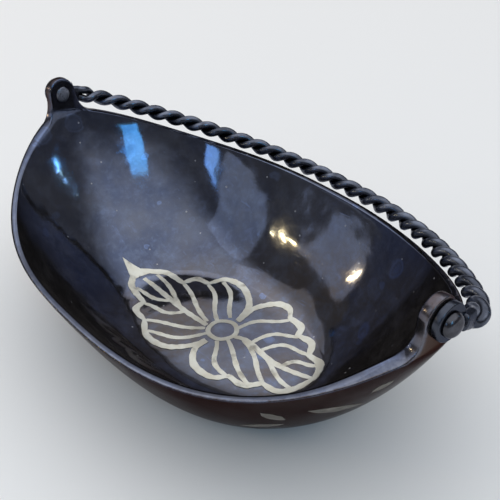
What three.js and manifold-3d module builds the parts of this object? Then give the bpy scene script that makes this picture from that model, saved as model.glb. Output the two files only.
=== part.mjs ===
// A boat-shaped metal basket bowl. The cast body is drawn up into a lug at each nose, silver strips and
// leaves are inlaid in its floor and outer wall, and a bail of two twisted wires swings on two rivets.
// Millimetres, +Z up. The origin is the middle of the flat base, X runs from nose to nose, and the bail
// is folded down on the +Y side.
import * as THREE from 'three';
import { mergeVertices } from 'three/addons/utils/BufferGeometryUtils.js';
import Module from 'manifold-3d';

const wasm = await Module();
wasm.setup();

// Clearance between pieces that touch on the real object
const GAP = 0.3;

// Bowl body: the rim's plan is x = half length * cos(angle), y = half width * (1 - |cos|^power)^rounding
const RIM_HALF_LENGTH = 75;
const RIM_HALF_WIDTH = 43;
const RIM_POWER = 2.48;
const RIM_ROUNDING = 0.64;
const RIM_HEIGHT = 31.5; // at the middle of the long sides
const NOSE_RISE = 15; // how much higher the rim is at its noses
const NOSE_RISE_POWER = 4;
const NOSE_FLAT = 0.7; // taken off each nose as a flat seat for the bail's eye
const WALL = 2.6;
const FLOOR = 3;
const BASE_HALF_LENGTH = 35.5;
const BASE_HALF_WIDTH = 22;
const BELLY_SPREAD = 1.29; // how late the wall spreads on its way up
const BELLY_LIFT = 1.87; // how late the wall lifts off the base

// Lugs
const LUG_WIDTH = 8.8;
const LUG_ABOVE_PIVOT = 4.9;
const LUG_FLARE = 5; // how far each side sweeps out into the rim
const LUG_ROOT = 5; // depth of the lug's overlap with the wall
const PIVOT_RISE = 5.7; // pivot axis above the noses of the rim

// Rivets
const SHANK_DIAMETER = 3;
const DOME_DIAMETER = 6;
const DOME_HEIGHT = 2;
const PEENED_DIAMETER = 4.2;
const PEENED_HEIGHT = 0.8;

// Bail: two wires twisted together, seen in its own plane as x across and v away from the pivot axis
const WIRE_DIAMETER = 2.4;
const EYE_DIAMETER = 9;
const EYE_THICKNESS = 1.4;
const NECK_REACH = 8; // length of an eye's neck from the pivot axis
const NECK_SPLAY = 3.3; // how far the pair leans out from its corners to the pivot axis
const ARCH_OVERRUN = 3.3; // how far past the necks the arch would run without its corners
const ARCH_FOOT = 6.9; // the arch's reach at those ends
const ARCH_HEIGHT = 50.6; // its reach in the middle
const ARCH_POWER = 2.27;
const CORNER_INSET = 4.2; // where each rounded corner starts, in from its bend
const CORNER_DROP = 5.5; // how far below its bend each corner ends
const OPENING_LENGTH = 7; // length over which the pair opens beside a neck
const WIRE_OPENING = 0.4; // how far each wire bows out there
const TWIST_TURNS = 15;
const TWIST_EASE = 0.012; // share of the length over which the twist sets in

// Inlays
const INLAY_DEPTH = 0.7;
const RING_RADIUS = 4.7;
const RING_WIDTH = 1.3;
const BORDER_WIDTH = 2;
const MIDRIB_WIDTH = 1.6;
const VEIN_WIDTH = 1.3;
const LEAF_POINT_GAP = 0.6; // clearance at a wall leaf's sharp ends
const LEAF_REACH = 4; // how far a leaf's prism reaches either side of the wall's skin

// The spray of leaves on the -Y side of the outer wall; the +Y side has the same one, turned half round.
// Angles are degrees of the rim's plan, climbs run up the wall, and tilts turn a leaf on the wall.
const SPRAY_LEAVES = [
  { angle: -15, climb: 0.72, length: 5.6, width: 3.4, tilt: 29 },
  { angle: -24, climb: 0.618, length: 14.4, width: 4.4, tilt: -38 },
  { angle: -39.5, climb: 0.66, length: 8.2, width: 3.6, tilt: -68 },
  { angle: -40.5, climb: 0.497, length: 12, width: 3.8, tilt: 16 },
  { angle: -140.5, climb: 0.66, length: 8.2, width: 3.6, tilt: 68 },
  { angle: -156, climb: 0.618, length: 14.4, width: 4.4, tilt: 38 },
  { angle: -165, climb: 0.72, length: 5.6, width: 3.4, tilt: -29 },
];

// The floor's flower, as seen from above: two veined leaves on a ring. The lines are hand-cut and uneven.
const FLOWER_UNIT = 1; // length of one unit of the drawing
const RING_CENTRE = [1.2, 0.5];
const FLOWER_LEAVES = [
  {
    name: 'left_leaf',
    wedge: [[-42.4, -4.4], [-34.8, -6.4], [-35.2, -3.4], [-34.8, 0.3]],
    border: [
      [[-35.5, 0.2], [-31.3, 4.5], [-24.2, 5.2]],
      [[-24.5, 5], [-23, 9.4], [-18.6, 10.7]],
      [[-18.8, 10.4], [-16.3, 15.6], [-9.5, 16.9], [-2, 13], [1, 6.1]],
      [[-35.5, -5.2], [-32.3, -8], [-24.8, -8.9]],
      [[-25, -8.5], [-23.4, -12.6], [-17.9, -13.4]],
      [[-18.2, -13.2], [-11.4, -16.8], [-4.3, -15.5], [0.2, -10.2], [1.3, -5.6]],
    ],
    midrib: [[-3.6, -1.5], [-14.7, -2.3], [-28.9, -2.1], [-34, -2.6]],
    veins: [
      [[-33, 1.6], [-22.3, 0.3], [-14.7, -2.3]],
      [[-24.2, 5.2], [-14.8, 2.5], [-4.8, -0.4]],
      [[-18.2, 10.3], [-12.4, 8], [-2.8, 1.8]],
      [[-16, 14.4], [-9, 11.5], [-1.4, 5.4]],
      [[-31.8, -7], [-25.8, -6], [-19.7, -2.4]],
      [[-24.2, -9], [-17.2, -7.1], [-12.8, -2.5]],
      [[-17.6, -13], [-10.2, -8.5], [-2.9, -2.6]],
      [[-13.2, -15.4], [-5.8, -11.6], [-0.8, -3.5]],
    ],
  },
  {
    name: 'right_leaf',
    wedge: [[33.2, 6.6], [32, 10.7], [29.8, 11], [30.4, 8.8]],
    border: [
      [[1.5, 6], [0.1, 13], [3.2, 18.6], [8, 19.8], [11, 17.4]],
      [[10.8, 17.6], [16, 17], [17.7, 13.9]],
      [[17.5, 14.3], [22.9, 14.5], [25.9, 10.5]],
      [[25.5, 10.9], [30.8, 10.2], [33.3, 5.9]],
      [[1.7, -5.6], [2.4, -10.3], [7.3, -14], [13.9, -13.5], [17.1, -9.6]],
      [[16.8, -9.8], [22, -9.2], [25.2, -4.8]],
      [[24.9, -5.1], [29.9, -4.2], [32.5, 0.1], [33.3, 6.1]],
    ],
    midrib: [[5.3, 1], [10, 2.7], [21.2, 2.2], [32.8, 5.3]],
    veins: [
      [[3.6, 4.1], [5.7, 10.6], [11.4, 17.2]],
      [[10.9, 3.2], [13, 10.5], [18.5, 14.3]],
      [[15.1, 3.2], [18.5, 9.3], [25.6, 11.1]],
      [[23.5, 3], [25.5, 7.1], [30.8, 9.8]],
      [[3.7, -3.5], [9.3, -8.8], [16.6, -10.2]],
      [[5.5, -1], [13, -4.8], [23.1, -8.1]],
      [[8.8, 2], [16.9, -0.7], [25.3, -5]],
      [[18, 2], [23.6, -0.1], [31.8, -1]],
    ],
  },
];

// Facets
const ROUND_STEPS = 56;
const CLIMB_STEPS = 8;
const LATHE_STEPS = 16;
const PROFILE_STEPS = 4; // per curve of a rivet's profile
const CURVE_STEPS = 4; // per curve of a lug's, a leaf's or a neck's outline
const HALF_WIRE_SIDES = 4;
const WIRE_STEPS = 140;
const ARCH_POINTS = 25;
const RIBBON_STEPS = 2; // per span of a strip's line

// Sizes that follow from the driving dimensions
const NOSE_FACE = RIM_HALF_LENGTH - NOSE_FLAT;
const NOSE_HEIGHT = RIM_HEIGHT + NOSE_RISE;
const PIVOT_HEIGHT = NOSE_HEIGHT + PIVOT_RISE;
const LUG_TOP = PIVOT_HEIGHT + LUG_ABOVE_PIVOT;
const LUG_INNER_FACE = NOSE_FACE - WALL;
const EYE_INNER_FACE = NOSE_FACE + GAP;
const EYE_OUTER_FACE = EYE_INNER_FACE + EYE_THICKNESS;
const WIRE_OFFSET = (WIRE_DIAMETER + GAP) / 2; // from the middle of the pair to each wire's middle
const PAIR_RADIUS = WIRE_OFFSET + WIRE_DIAMETER / 2;
const BAR_X = EYE_OUTER_FACE + WIRE_DIAMETER / 2; // where the pair's line would meet the pivot axis
const CORNER_X = BAR_X - NECK_SPLAY;
const SHOULDER_X = CORNER_X - CORNER_INSET;
const ARCH_HALF_SPAN = BAR_X + ARCH_OVERRUN;
const HOLE_RADIUS = SHANK_DIAMETER / 2 + GAP;

const blackMetal = { color: 0x2b2a2e, roughness: 0.32, metalness: 0.9 };
const wireMetal = { color: 0x23252b, roughness: 0.4, metalness: 0.9 };
const silver = { color: 0xc9c8b6, roughness: 0.35, metalness: 1 };

// A closed geometry as a solid for joining and cutting
function solidFrom(geometry) {
  const bare = geometry.clone();
  bare.deleteAttribute('normal');
  bare.deleteAttribute('uv');
  const merged = mergeVertices(bare, 1e-4);
  const vertProperties = new Float32Array(merged.attributes.position.array);
  const triVerts = new Uint32Array(merged.index.array);
  return new wasm.Manifold(new wasm.Mesh({ numProp: 3, vertProperties, triVerts }));
}

// A named mesh of a solid, with its own material
function meshOf(name, solid, finish) {
  const { vertProperties, triVerts } = solid.getMesh();
  const geometry = new THREE.BufferGeometry();
  geometry.setAttribute('position', new THREE.BufferAttribute(new Float32Array(vertProperties), 3));
  geometry.setIndex(new THREE.BufferAttribute(new Uint32Array(triVerts), 1));
  geometry.computeVertexNormals();
  const mesh = new THREE.Mesh(geometry, new THREE.MeshStandardMaterial(finish));
  mesh.name = name;
  return mesh;
}

// A closed body through rings of equal length, with its first and last ring capped
function loft(rings) {
  const count = rings[0].length;
  const points = rings.flat();
  const faces = [];
  for (let r = 0; r < rings.length - 1; r += 1) {
    for (let i = 0; i < count; i += 1) {
      const a = r * count + i;
      const b = r * count + ((i + 1) % count);
      faces.push(a, b, b + count, a, b + count, a + count);
    }
  }
  const last = (rings.length - 1) * count;
  for (const [start, turned] of [[0, true], [last, false]]) {
    const middle = new THREE.Vector3();
    points.slice(start, start + count).forEach((point) => middle.addScaledVector(point, 1 / count));
    const hub = points.push(middle) - 1;
    for (let i = 0; i < count; i += 1) {
      const a = start + i;
      const b = start + ((i + 1) % count);
      faces.push(...(turned ? [b, a, hub] : [a, b, hub]));
    }
  }
  const geometry = new THREE.BufferGeometry().setFromPoints(points);
  geometry.setIndex(faces);
  return solidFrom(geometry);
}

// The rim's edge at an angle of its plan, a given depth inside the outer skin
function rimPoint(angle, inset) {
  const along = Math.cos(angle);
  const across = Math.max(0, 1 - Math.abs(along) ** RIM_POWER) ** RIM_ROUNDING;
  const x = (RIM_HALF_LENGTH - inset) * along;
  const y = Math.sign(Math.sin(angle)) * (RIM_HALF_WIDTH - inset) * across;
  return new THREE.Vector3(x, y, RIM_HEIGHT + NOSE_RISE * Math.abs(along) ** NOSE_RISE_POWER);
}

// A point of the wall: climb runs from 0 at the flat bottom to 1 at the rim
function wallPoint(angle, climb, inset, bottom) {
  const rim = rimPoint(angle, inset);
  const out = Math.sin((climb * Math.PI) / 2) ** BELLY_SPREAD;
  const up = 1 - Math.max(0, Math.cos((climb * Math.PI) / 2)) ** BELLY_LIFT;
  const baseX = (BASE_HALF_LENGTH - inset) * Math.cos(angle);
  const baseY = (BASE_HALF_WIDTH - inset) * Math.sin(angle);
  const nose = NOSE_FACE - inset;
  const x = THREE.MathUtils.clamp(baseX + (rim.x - baseX) * out, -nose, nose);
  return new THREE.Vector3(x, baseY + (rim.y - baseY) * out, bottom + (rim.z - bottom) * up);
}

// One ring of wall points
function wallRing(climb, inset, bottom) {
  return Array.from({ length: ROUND_STEPS }, (_, i) => {
    return wallPoint((i * 2 * Math.PI) / ROUND_STEPS, climb, inset, bottom);
  });
}

// The wall's rings from the flat bottom up to the rim
function wallRings(inset, bottom) {
  return Array.from({ length: CLIMB_STEPS + 1 }, (_, i) => wallRing(i / CLIMB_STEPS, inset, bottom));
}

// All that lies within a skin of the bowl, filled up to the rim
function filledBowl(inset, bottom) {
  return loft(wallRings(inset, bottom));
}

// The bare shell, or with a top height the same shell with its wall carried straight up to there
function shell(top) {
  const outer = wallRings(0, 0);
  const inner = wallRings(WALL, FLOOR);
  if (top) {
    [outer, inner].forEach((rings) => {
      rings.push(rings.at(-1).map((point) => new THREE.Vector3(point.x, point.y, top)));
    });
  }
  return loft([...outer, ...inner.reverse()]);
}

// The rim's height where its plan is a given width from the long axis, beside a nose
function rimHeightAt(y) {
  const along = (1 - (y / RIM_HALF_WIDTH) ** (1 / RIM_ROUNDING)) ** (1 / RIM_POWER);
  return RIM_HEIGHT + NOSE_RISE * along ** NOSE_RISE_POWER;
}

// The outline of a lug seen along X: a round head on straight sides that sweep out into the rim
function lugOutline() {
  const half = LUG_WIDTH / 2;
  const foot = half + LUG_FLARE;
  const head = LUG_TOP - half;
  const land = rimHeightAt(foot) - GAP;
  const root = NOSE_HEIGHT - LUG_ROOT - GAP;
  const outline = new THREE.Shape();
  outline.moveTo(-foot, root);
  outline.lineTo(foot, root);
  outline.lineTo(foot, land);
  outline.quadraticCurveTo(half, rimHeightAt(half), half, head);
  outline.absarc(0, head, half, 0, Math.PI);
  outline.quadraticCurveTo(-half, rimHeightAt(half), -foot, land);
  return outline;
}

// A prism of an outline drawn in Y and Z, from one x to another
function prismAlongX(outline, from, to) {
  const options = { depth: to - from, bevelEnabled: false, curveSegments: CURVE_STEPS };
  const geometry = new THREE.ExtrudeGeometry(outline, options);
  geometry.applyMatrix4(new THREE.Matrix4().set(0, 0, 1, from, 1, 0, 0, 0, 0, 1, 0, 0, 0, 0, 0, 1));
  return solidFrom(geometry);
}

// A round rod along X at a height
function rodAlongX(radius, from, to, height) {
  const geometry = new THREE.CylinderGeometry(radius, radius, to - from, LATHE_STEPS);
  geometry.rotateZ(Math.PI / 2);
  geometry.translate((from + to) / 2, 0, height);
  return solidFrom(geometry);
}

// Both lugs: the wall carried up and cut to the lug's outline, with the rivet hole through it
function lugs() {
  const reach = RIM_HALF_LENGTH + WALL;
  const outlines = [-1, 1].map((side) => {
    const [from, to] = side < 0 ? [-reach, -reach / 2] : [reach / 2, reach];
    return prismAlongX(lugOutline(), from, to);
  });
  return shell(LUG_TOP + WALL).intersect(outlines[0].add(outlines[1]));
}

// A point of the flower's drawing
function drawn([x, y]) {
  return new THREE.Vector2(x, y).multiplyScalar(FLOWER_UNIT);
}

// A strip of even width along a smooth line of the drawing, as a shape seen from above
function ribbon(points, width, overrun) {
  const line = new THREE.SplineCurve(points.map(drawn));
  const steps = RIBBON_STEPS * (points.length - 1);
  const left = [];
  const right = [];
  for (let i = 0; i <= steps; i += 1) {
    const along = line.getTangent(i / steps);
    const at = line.getPoint(i / steps);
    if (i === 0) at.addScaledVector(along, -overrun);
    if (i === steps) at.addScaledVector(along, overrun);
    const side = new THREE.Vector2(-along.y, along.x).multiplyScalar(width / 2);
    left.unshift(at.clone().add(side));
    right.push(at.clone().sub(side));
  }
  return new THREE.Shape([...right, ...left]);
}

// An upright prism of a shape seen from above, which stays below the rim
function uprightPrism(shape) {
  return solidFrom(new THREE.ExtrudeGeometry(shape, { depth: RIM_HEIGHT - WALL, bevelEnabled: false }));
}

// A strip's upright prism, as it is and grown by the clearance
function stripPrisms(points, width) {
  return {
    own: uprightPrism(ribbon(points, width, 0)),
    grown: uprightPrism(ribbon(points, width + 2 * GAP, GAP)),
  };
}

// Every solid of a list joined into one
function joined(solids) {
  return solids.reduce((whole, solid) => whole.add(solid));
}

// A round disc seen from above
function discPrism(radius) {
  const centre = drawn(RING_CENTRE);
  return uprightPrism(new THREE.Shape().absarc(centre.x, centre.y, radius, 0, 2 * Math.PI));
}

// A polygon's upright prism, as it is and grown by the clearance with a strip along each of its edges
function wedgePrisms(corners) {
  const own = uprightPrism(new THREE.Shape(corners.map(drawn)));
  const edges = corners.map((corner, i) => {
    return uprightPrism(ribbon([corner, corners[(i + 1) % corners.length]], 2 * GAP, GAP));
  });
  return { own, grown: joined([own, ...edges]) };
}

// The flower's pieces as upright prisms, each kept clear of the pieces before it, and the room they all take
function flowerPrisms() {
  const ring = discPrism(RING_RADIUS).subtract(discPrism(RING_RADIUS - RING_WIDTH));
  const pieces = [{ name: 'flower_ring', prism: ring }];
  const inside = discPrism(RING_RADIUS - RING_WIDTH - GAP);
  let taken = discPrism(RING_RADIUS + GAP);
  const place = (name, { own, grown }) => {
    pieces.push({ name, prism: own.subtract(taken) });
    taken = taken.add(grown);
  };
  for (const leaf of FLOWER_LEAVES) {
    const parts = leaf.border.map((points) => stripPrisms(points, BORDER_WIDTH));
    parts.push(wedgePrisms(leaf.wedge));
    const own = joined(parts.map((part) => part.own));
    const grown = joined(parts.map((part) => part.grown));
    place(`${leaf.name}_border`, { own, grown });
  }
  for (const leaf of FLOWER_LEAVES) {
    place(`${leaf.name}_midrib`, stripPrisms(leaf.midrib, MIDRIB_WIDTH));
    leaf.veins.forEach((points, i) => place(`${leaf.name}_vein_${i + 1}`, stripPrisms(points, VEIN_WIDTH)));
  }
  return { pieces, room: taken.subtract(inside) };
}

// The outline of a wall leaf: two arcs from point to point
function leafShape(length, width) {
  const outline = new THREE.Shape();
  outline.moveTo(-length / 2, 0);
  outline.quadraticCurveTo(0, -width, length / 2, 0);
  outline.quadraticCurveTo(0, width, -length / 2, 0);
  return outline;
}

// The frame of a place on the outer wall: along the wall, up it and out of it, turned by a tilt
function wallFrame(angle, climb, tilt) {
  const step = 0.01;
  const at = wallPoint(angle, climb, 0, 0);
  const along = wallPoint(angle + step, climb, 0, 0).sub(wallPoint(angle - step, climb, 0, 0)).normalize();
  const up = wallPoint(angle, climb + step, 0, 0).sub(wallPoint(angle, climb - step, 0, 0)).normalize();
  const out = new THREE.Vector3().crossVectors(along, up).normalize();
  const across = new THREE.Vector3().crossVectors(out, along);
  const frame = new THREE.Matrix4().makeBasis(along, across, out).setPosition(at);
  return frame.multiply(new THREE.Matrix4().makeRotationZ(tilt));
}

// A wall leaf's prism square to the wall
function leafPrism(length, width, frame) {
  const options = { depth: 2 * LEAF_REACH, bevelEnabled: false, curveSegments: CURVE_STEPS };
  const geometry = new THREE.ExtrudeGeometry(leafShape(length, width), options);
  geometry.translate(0, 0, -LEAF_REACH);
  return solidFrom(geometry.applyMatrix4(frame));
}

// The leaves of both sprays on the outer wall, as prisms
function wallLeafPrisms() {
  const { degToRad } = THREE.MathUtils;
  return [180, 0].flatMap((turn) => SPRAY_LEAVES.map(({ angle, climb, length, width, tilt }) => {
    const frame = wallFrame(degToRad(angle + turn), climb, degToRad(tilt));
    return {
      own: leafPrism(length, width, frame),
      grown: leafPrism(length + 2 * LEAF_POINT_GAP, width + 2 * GAP, frame),
    };
  }));
}

// The flower's pieces and the wall's leaves as thin plates, and the body with their pockets cut
function bodyAndInlays() {
  const flower = flowerPrisms();
  const leaves = wallLeafPrisms();
  const inside = filledBowl(WALL, FLOOR);
  const floorSkin = filledBowl(WALL - INLAY_DEPTH, FLOOR - INLAY_DEPTH).subtract(inside);
  const floorPockets = flower.room.intersect(filledBowl(WALL - INLAY_DEPTH - GAP, FLOOR - INLAY_DEPTH - GAP));
  const wallSkin = filledBowl(0, 0).subtract(filledBowl(INLAY_DEPTH, INLAY_DEPTH));
  const wallCore = filledBowl(INLAY_DEPTH + GAP, INLAY_DEPTH + GAP);
  const leafPockets = joined(leaves.map((leaf) => leaf.grown)).subtract(wallCore);
  const holes = rodAlongX(HOLE_RADIUS, -RIM_HALF_LENGTH, RIM_HALF_LENGTH, PIVOT_HEIGHT);
  const body = shell().add(lugs()).subtract(holes).subtract(floorPockets).subtract(leafPockets);
  const meshes = [meshOf('bowl_body', body, blackMetal)];
  for (const { name, prism } of flower.pieces) {
    meshes.push(meshOf(name, prism.intersect(floorSkin), silver));
  }
  leaves.forEach((leaf, i) => {
    const number = String(i + 1).padStart(2, '0');
    meshes.push(meshOf(`wall_leaf_${number}`, leaf.own.intersect(wallSkin), silver));
  });
  return meshes;
}

// A rivet along +X from the peened end inside the lug to the dome outside the eye
function rivetGeometry() {
  const shank = SHANK_DIAMETER / 2;
  const peened = PEENED_DIAMETER / 2;
  const dome = DOME_DIAMETER / 2;
  const peenedBack = LUG_INNER_FACE - GAP;
  const domeBase = EYE_OUTER_FACE + GAP;
  const domeTop = domeBase + DOME_HEIGHT;
  const profile = new THREE.Path();
  profile.moveTo(0, peenedBack - PEENED_HEIGHT);
  profile.lineTo(peened - PEENED_HEIGHT, peenedBack - PEENED_HEIGHT);
  profile.quadraticCurveTo(peened, peenedBack - PEENED_HEIGHT, peened, peenedBack);
  profile.lineTo(shank, peenedBack);
  profile.lineTo(shank, domeBase);
  profile.lineTo(dome, domeBase);
  profile.quadraticCurveTo(dome, domeTop, 0, domeTop);
  const geometry = new THREE.LatheGeometry(profile.getPoints(PROFILE_STEPS), LATHE_STEPS);
  return geometry.rotateZ(-Math.PI / 2);
}

// A rivet at one nose: side is 1 for the right one and -1 for the left
function rivet(name, side) {
  const geometry = rivetGeometry();
  if (side < 0) geometry.rotateZ(Math.PI);
  geometry.translate(0, 0, PIVOT_HEIGHT);
  return meshOf(name, solidFrom(geometry), blackMetal);
}

// The arch of the bail: its reach from the pivot axis at x, and how steeply it falls there
function archReach(x) {
  return ARCH_FOOT + (ARCH_HEIGHT - ARCH_FOOT) * (1 - Math.abs(x / ARCH_HALF_SPAN) ** ARCH_POWER);
}
function archFall(x) {
  const share = Math.abs(x / ARCH_HALF_SPAN) ** (ARCH_POWER - 1);
  return ((ARCH_HEIGHT - ARCH_FOOT) * ARCH_POWER * share) / ARCH_HALF_SPAN;
}

// The bend of the right corner, where the arch and the splayed neck would meet
function cornerBend() {
  return new THREE.Vector2(CORNER_X, archReach(SHOULDER_X) - archFall(SHOULDER_X) * CORNER_INSET);
}

// A point of the right neck's middle line, a distance along it from the pivot axis
function neckPoint(distance) {
  const foot = new THREE.Vector2(BAR_X, 0);
  return cornerBend().sub(foot).setLength(distance).add(foot);
}

// The pair's middle line in the bail's plane, from the end of one eye's neck to the other
function bailLine() {
  const bend = cornerBend();
  const start = neckPoint(NECK_REACH + GAP);
  const rise = neckPoint(bend.distanceTo(neckPoint(0)) - CORNER_DROP);
  const crown = Array.from({ length: ARCH_POINTS }, (_, i) => {
    const x = SHOULDER_X * ((2 * i) / (ARCH_POINTS - 1) - 1);
    return new THREE.Vector2(x, archReach(x));
  });
  const line = new THREE.Path();
  line.moveTo(-start.x, start.y);
  line.lineTo(-rise.x, rise.y);
  line.quadraticCurveTo(-bend.x, bend.y, crown[0].x, crown[0].y);
  line.splineThru(crown.slice(1));
  line.quadraticCurveTo(bend.x, bend.y, rise.x, rise.y);
  line.lineTo(start.x, start.y);
  return line;
}

// The share of the twist done at a share of the length: it sets in and fades out evenly
function easedTwist(t) {
  const full = 1 - TWIST_EASE;
  if (t < TWIST_EASE) return (t * t) / (2 * TWIST_EASE * full);
  if (t > full) return 1 - ((1 - t) * (1 - t)) / (2 * TWIST_EASE * full);
  return (t - TWIST_EASE / 2) / full;
}

// One wire's middle line: it runs beside the pair's line and winds round it to the left
class TwistedWire extends THREE.Curve {
  constructor(line, startAngle) {
    super();
    this.line = line;
    this.startAngle = startAngle;
    this.length = line.getLength();
  }

  getPoint(t, target = new THREE.Vector3()) {
    const at = this.line.getPointAt(t);
    const along = this.line.getTangentAt(t);
    const angle = this.startAngle - easedTwist(t) * TWIST_TURNS * 2 * Math.PI;
    const fromEnd = Math.min(t * this.length, (1 - t) * this.length, OPENING_LENGTH);
    const bow = Math.sin((fromEnd / OPENING_LENGTH) * Math.PI) ** 2;
    const offset = WIRE_OFFSET + WIRE_OPENING * bow;
    const inPlane = offset * Math.cos(angle);
    return target.set(at.x - along.y * inPlane, at.y + along.x * inPlane, offset * Math.sin(angle));
  }
}

// One wire of the pair
function wire(name, line, startAngle) {
  const section = new THREE.Shape().absarc(0, 0, WIRE_DIAMETER / 2, 0, 2 * Math.PI);
  const geometry = new THREE.ExtrudeGeometry(section, {
    steps: WIRE_STEPS,
    curveSegments: HALF_WIRE_SIDES,
    extrudePath: new TwistedWire(line, startAngle),
  });
  return meshOf(name, solidFrom(geometry), wireMetal);
}

// The tongue of an eye, with rounded long edges, that both wires end on beside the rivet's dome
function eyeNeck() {
  const radius = WIRE_DIAMETER / 2;
  const lean = Math.atan2(NECK_SPLAY, cornerBend().y);
  const start = (DOME_DIAMETER / 2 + GAP + radius * Math.sin(lean)) / Math.cos(lean);
  const foot = neckPoint(start);
  const section = new THREE.Shape();
  section.moveTo(radius, -WIRE_OFFSET);
  section.lineTo(radius, WIRE_OFFSET);
  section.absarc(0, WIRE_OFFSET, radius, 0, Math.PI);
  section.lineTo(-radius, -WIRE_OFFSET);
  section.absarc(0, -WIRE_OFFSET, radius, Math.PI, 2 * Math.PI);
  const options = { depth: NECK_REACH - start, bevelEnabled: false, curveSegments: CURVE_STEPS };
  const geometry = new THREE.ExtrudeGeometry(section, options);
  geometry.rotateX(-Math.PI / 2);
  geometry.rotateZ(lean);
  geometry.translate(foot.x, foot.y, 0);
  return solidFrom(geometry);
}

// An eye of the bail: a drilled disc on the rivet, with the neck that carries the wires
function eye(name, side) {
  const disc = rodAlongX(EYE_DIAMETER / 2, EYE_INNER_FACE, EYE_OUTER_FACE, 0);
  const hole = rodAlongX(HOLE_RADIUS, EYE_INNER_FACE - GAP, EYE_OUTER_FACE + WIRE_DIAMETER, 0);
  const mesh = meshOf(name, disc.add(eyeNeck()).subtract(hole), wireMetal);
  if (side < 0) mesh.geometry.scale(-1, 1, 1);
  if (side < 0) mesh.geometry.setIndex([...mesh.geometry.index.array].reverse());
  return mesh;
}

// How far below level the bail comes down before the pair meets the rim
function restTilt(line) {
  const reach = PAIR_RADIUS + GAP;
  const step = THREE.MathUtils.degToRad(0.1);
  const pair = line.getSpacedPoints(WIRE_STEPS);
  const rim = Array.from({ length: WIRE_STEPS }, (_, i) => rimPoint((i * Math.PI) / WIRE_STEPS, 0));
  const clear = (tilt) => pair.every(({ x, y }) => {
    const at = new THREE.Vector3(x, y * Math.cos(tilt), PIVOT_HEIGHT - y * Math.sin(tilt));
    return rim.every((edge) => edge.distanceTo(at) > reach);
  });
  let tilt = 0;
  while (clear(tilt + step)) tilt += step;
  return tilt;
}

// The bail, folded down on the +Y side of the rim
function bail() {
  const line = bailLine();
  const group = new THREE.Group();
  group.add(wire('handle_wire_a', line, Math.PI / 2));
  group.add(wire('handle_wire_b', line, -Math.PI / 2));
  group.add(eye('left_handle_eye', -1));
  group.add(eye('right_handle_eye', 1));
  group.position.z = PIVOT_HEIGHT;
  group.rotation.x = -restTilt(line);
  return group;
}

const basketBowl = new THREE.Group();
basketBowl.add(...bodyAndInlays());
basketBowl.add(rivet('left_rivet', -1));
basketBowl.add(rivet('right_rivet', 1));
basketBowl.add(bail());

export default basketBowl;
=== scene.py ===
"""Looks of a boat-shaped black metal basket bowl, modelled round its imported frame.

The shell with its lugs, the silver let into it, the rivets and the twisted bail are smooth pieces
of their own, dressed with node materials and set on the frame's two bodies. Sizes in the classes
are millimetres, meshes are metres, +Z is up and X runs from nose to nose.
"""

import logging
import math
from collections.abc import Callable
from dataclasses import dataclass, field
from enum import Enum, IntEnum
from itertools import product
from typing import Any

import bpy
import numpy as np
from mathutils import Matrix, Vector


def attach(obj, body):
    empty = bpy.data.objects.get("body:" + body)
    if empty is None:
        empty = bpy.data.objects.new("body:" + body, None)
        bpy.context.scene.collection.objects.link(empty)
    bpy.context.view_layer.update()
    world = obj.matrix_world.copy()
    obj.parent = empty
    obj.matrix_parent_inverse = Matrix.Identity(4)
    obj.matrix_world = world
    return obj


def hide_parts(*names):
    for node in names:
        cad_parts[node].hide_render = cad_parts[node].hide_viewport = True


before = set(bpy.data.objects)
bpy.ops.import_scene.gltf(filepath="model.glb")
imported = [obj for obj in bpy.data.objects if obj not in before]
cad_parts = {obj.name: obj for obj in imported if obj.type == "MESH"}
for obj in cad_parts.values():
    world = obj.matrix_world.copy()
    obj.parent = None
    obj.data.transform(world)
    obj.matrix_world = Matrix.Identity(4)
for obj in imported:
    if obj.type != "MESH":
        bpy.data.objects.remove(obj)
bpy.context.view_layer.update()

MM = 0.001
WELD_DISTANCE = 1e-6
IMAGE_SIDE = 500  # pixels along each side of the picture
SENSOR_WIDTH = 36.0
SHARP_ANGLE = 45.0  # degrees from which an edge is rounded
SMOOTH_ANGLE = 40.0  # degrees up to which shading runs on over an edge
BATCH_POINTS = 2000  # points whose distances are worked out at a time
SPAN_POINTS = 24  # points of a smooth line from one drawn point to the next

Array = np.ndarray
Points = list[list[float]]
Colour = tuple[float, float, float]

log = logging.getLogger("basket_bowl")


class Body(Enum):
    """The frame's bodies that pieces ride on."""

    BOWL = "bowl"
    BAIL = "bail"


class Slot(Enum):
    """The record's material slots."""

    BLACK_ALLOY = "black_alloy"
    RIVET_METAL = "rivet_metal"
    HANDLE_METAL = "handle_metal"
    SILVER = "silver"


class Mask(Enum):
    """Point attributes that a finish reads from a piece's own mesh."""

    INSIDE = "inside_face"
    WEAR = "edge_wear"
    CREST = "strand_crest"
    TARNISH = "tarnish"


class Layer(IntEnum):
    """The order in which the flower's strips lap each other, from below."""

    VEIN = 0
    MIDRIB = 1
    WEDGE = 2
    RING = 3
    BORDER = 4


def select_only(piece: bpy.types.Object) -> None:
    """Makes one object the only selected and active one.

    Args:
        piece: The object that the next operators act on.
    """
    bpy.ops.object.select_all(action="DESELECT")
    piece.select_set(True)
    bpy.context.view_layer.objects.active = piece


def new_primitive(add: Callable[..., Any], name: str, **sizes: Any) -> bpy.types.Object:
    """Adds a primitive and puts its place into its mesh.

    Args:
        add: The bpy.ops.mesh operator of the primitive.
        name: Name of the new object.
        **sizes: The operator's own settings, in metres.

    Returns:
        The new object, at the origin.
    """
    bpy.ops.object.select_all(action="DESELECT")
    add(**sizes)
    piece = bpy.context.object
    piece.name = name
    bpy.ops.object.transform_apply(location=True, rotation=True, scale=True)
    return piece


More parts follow.
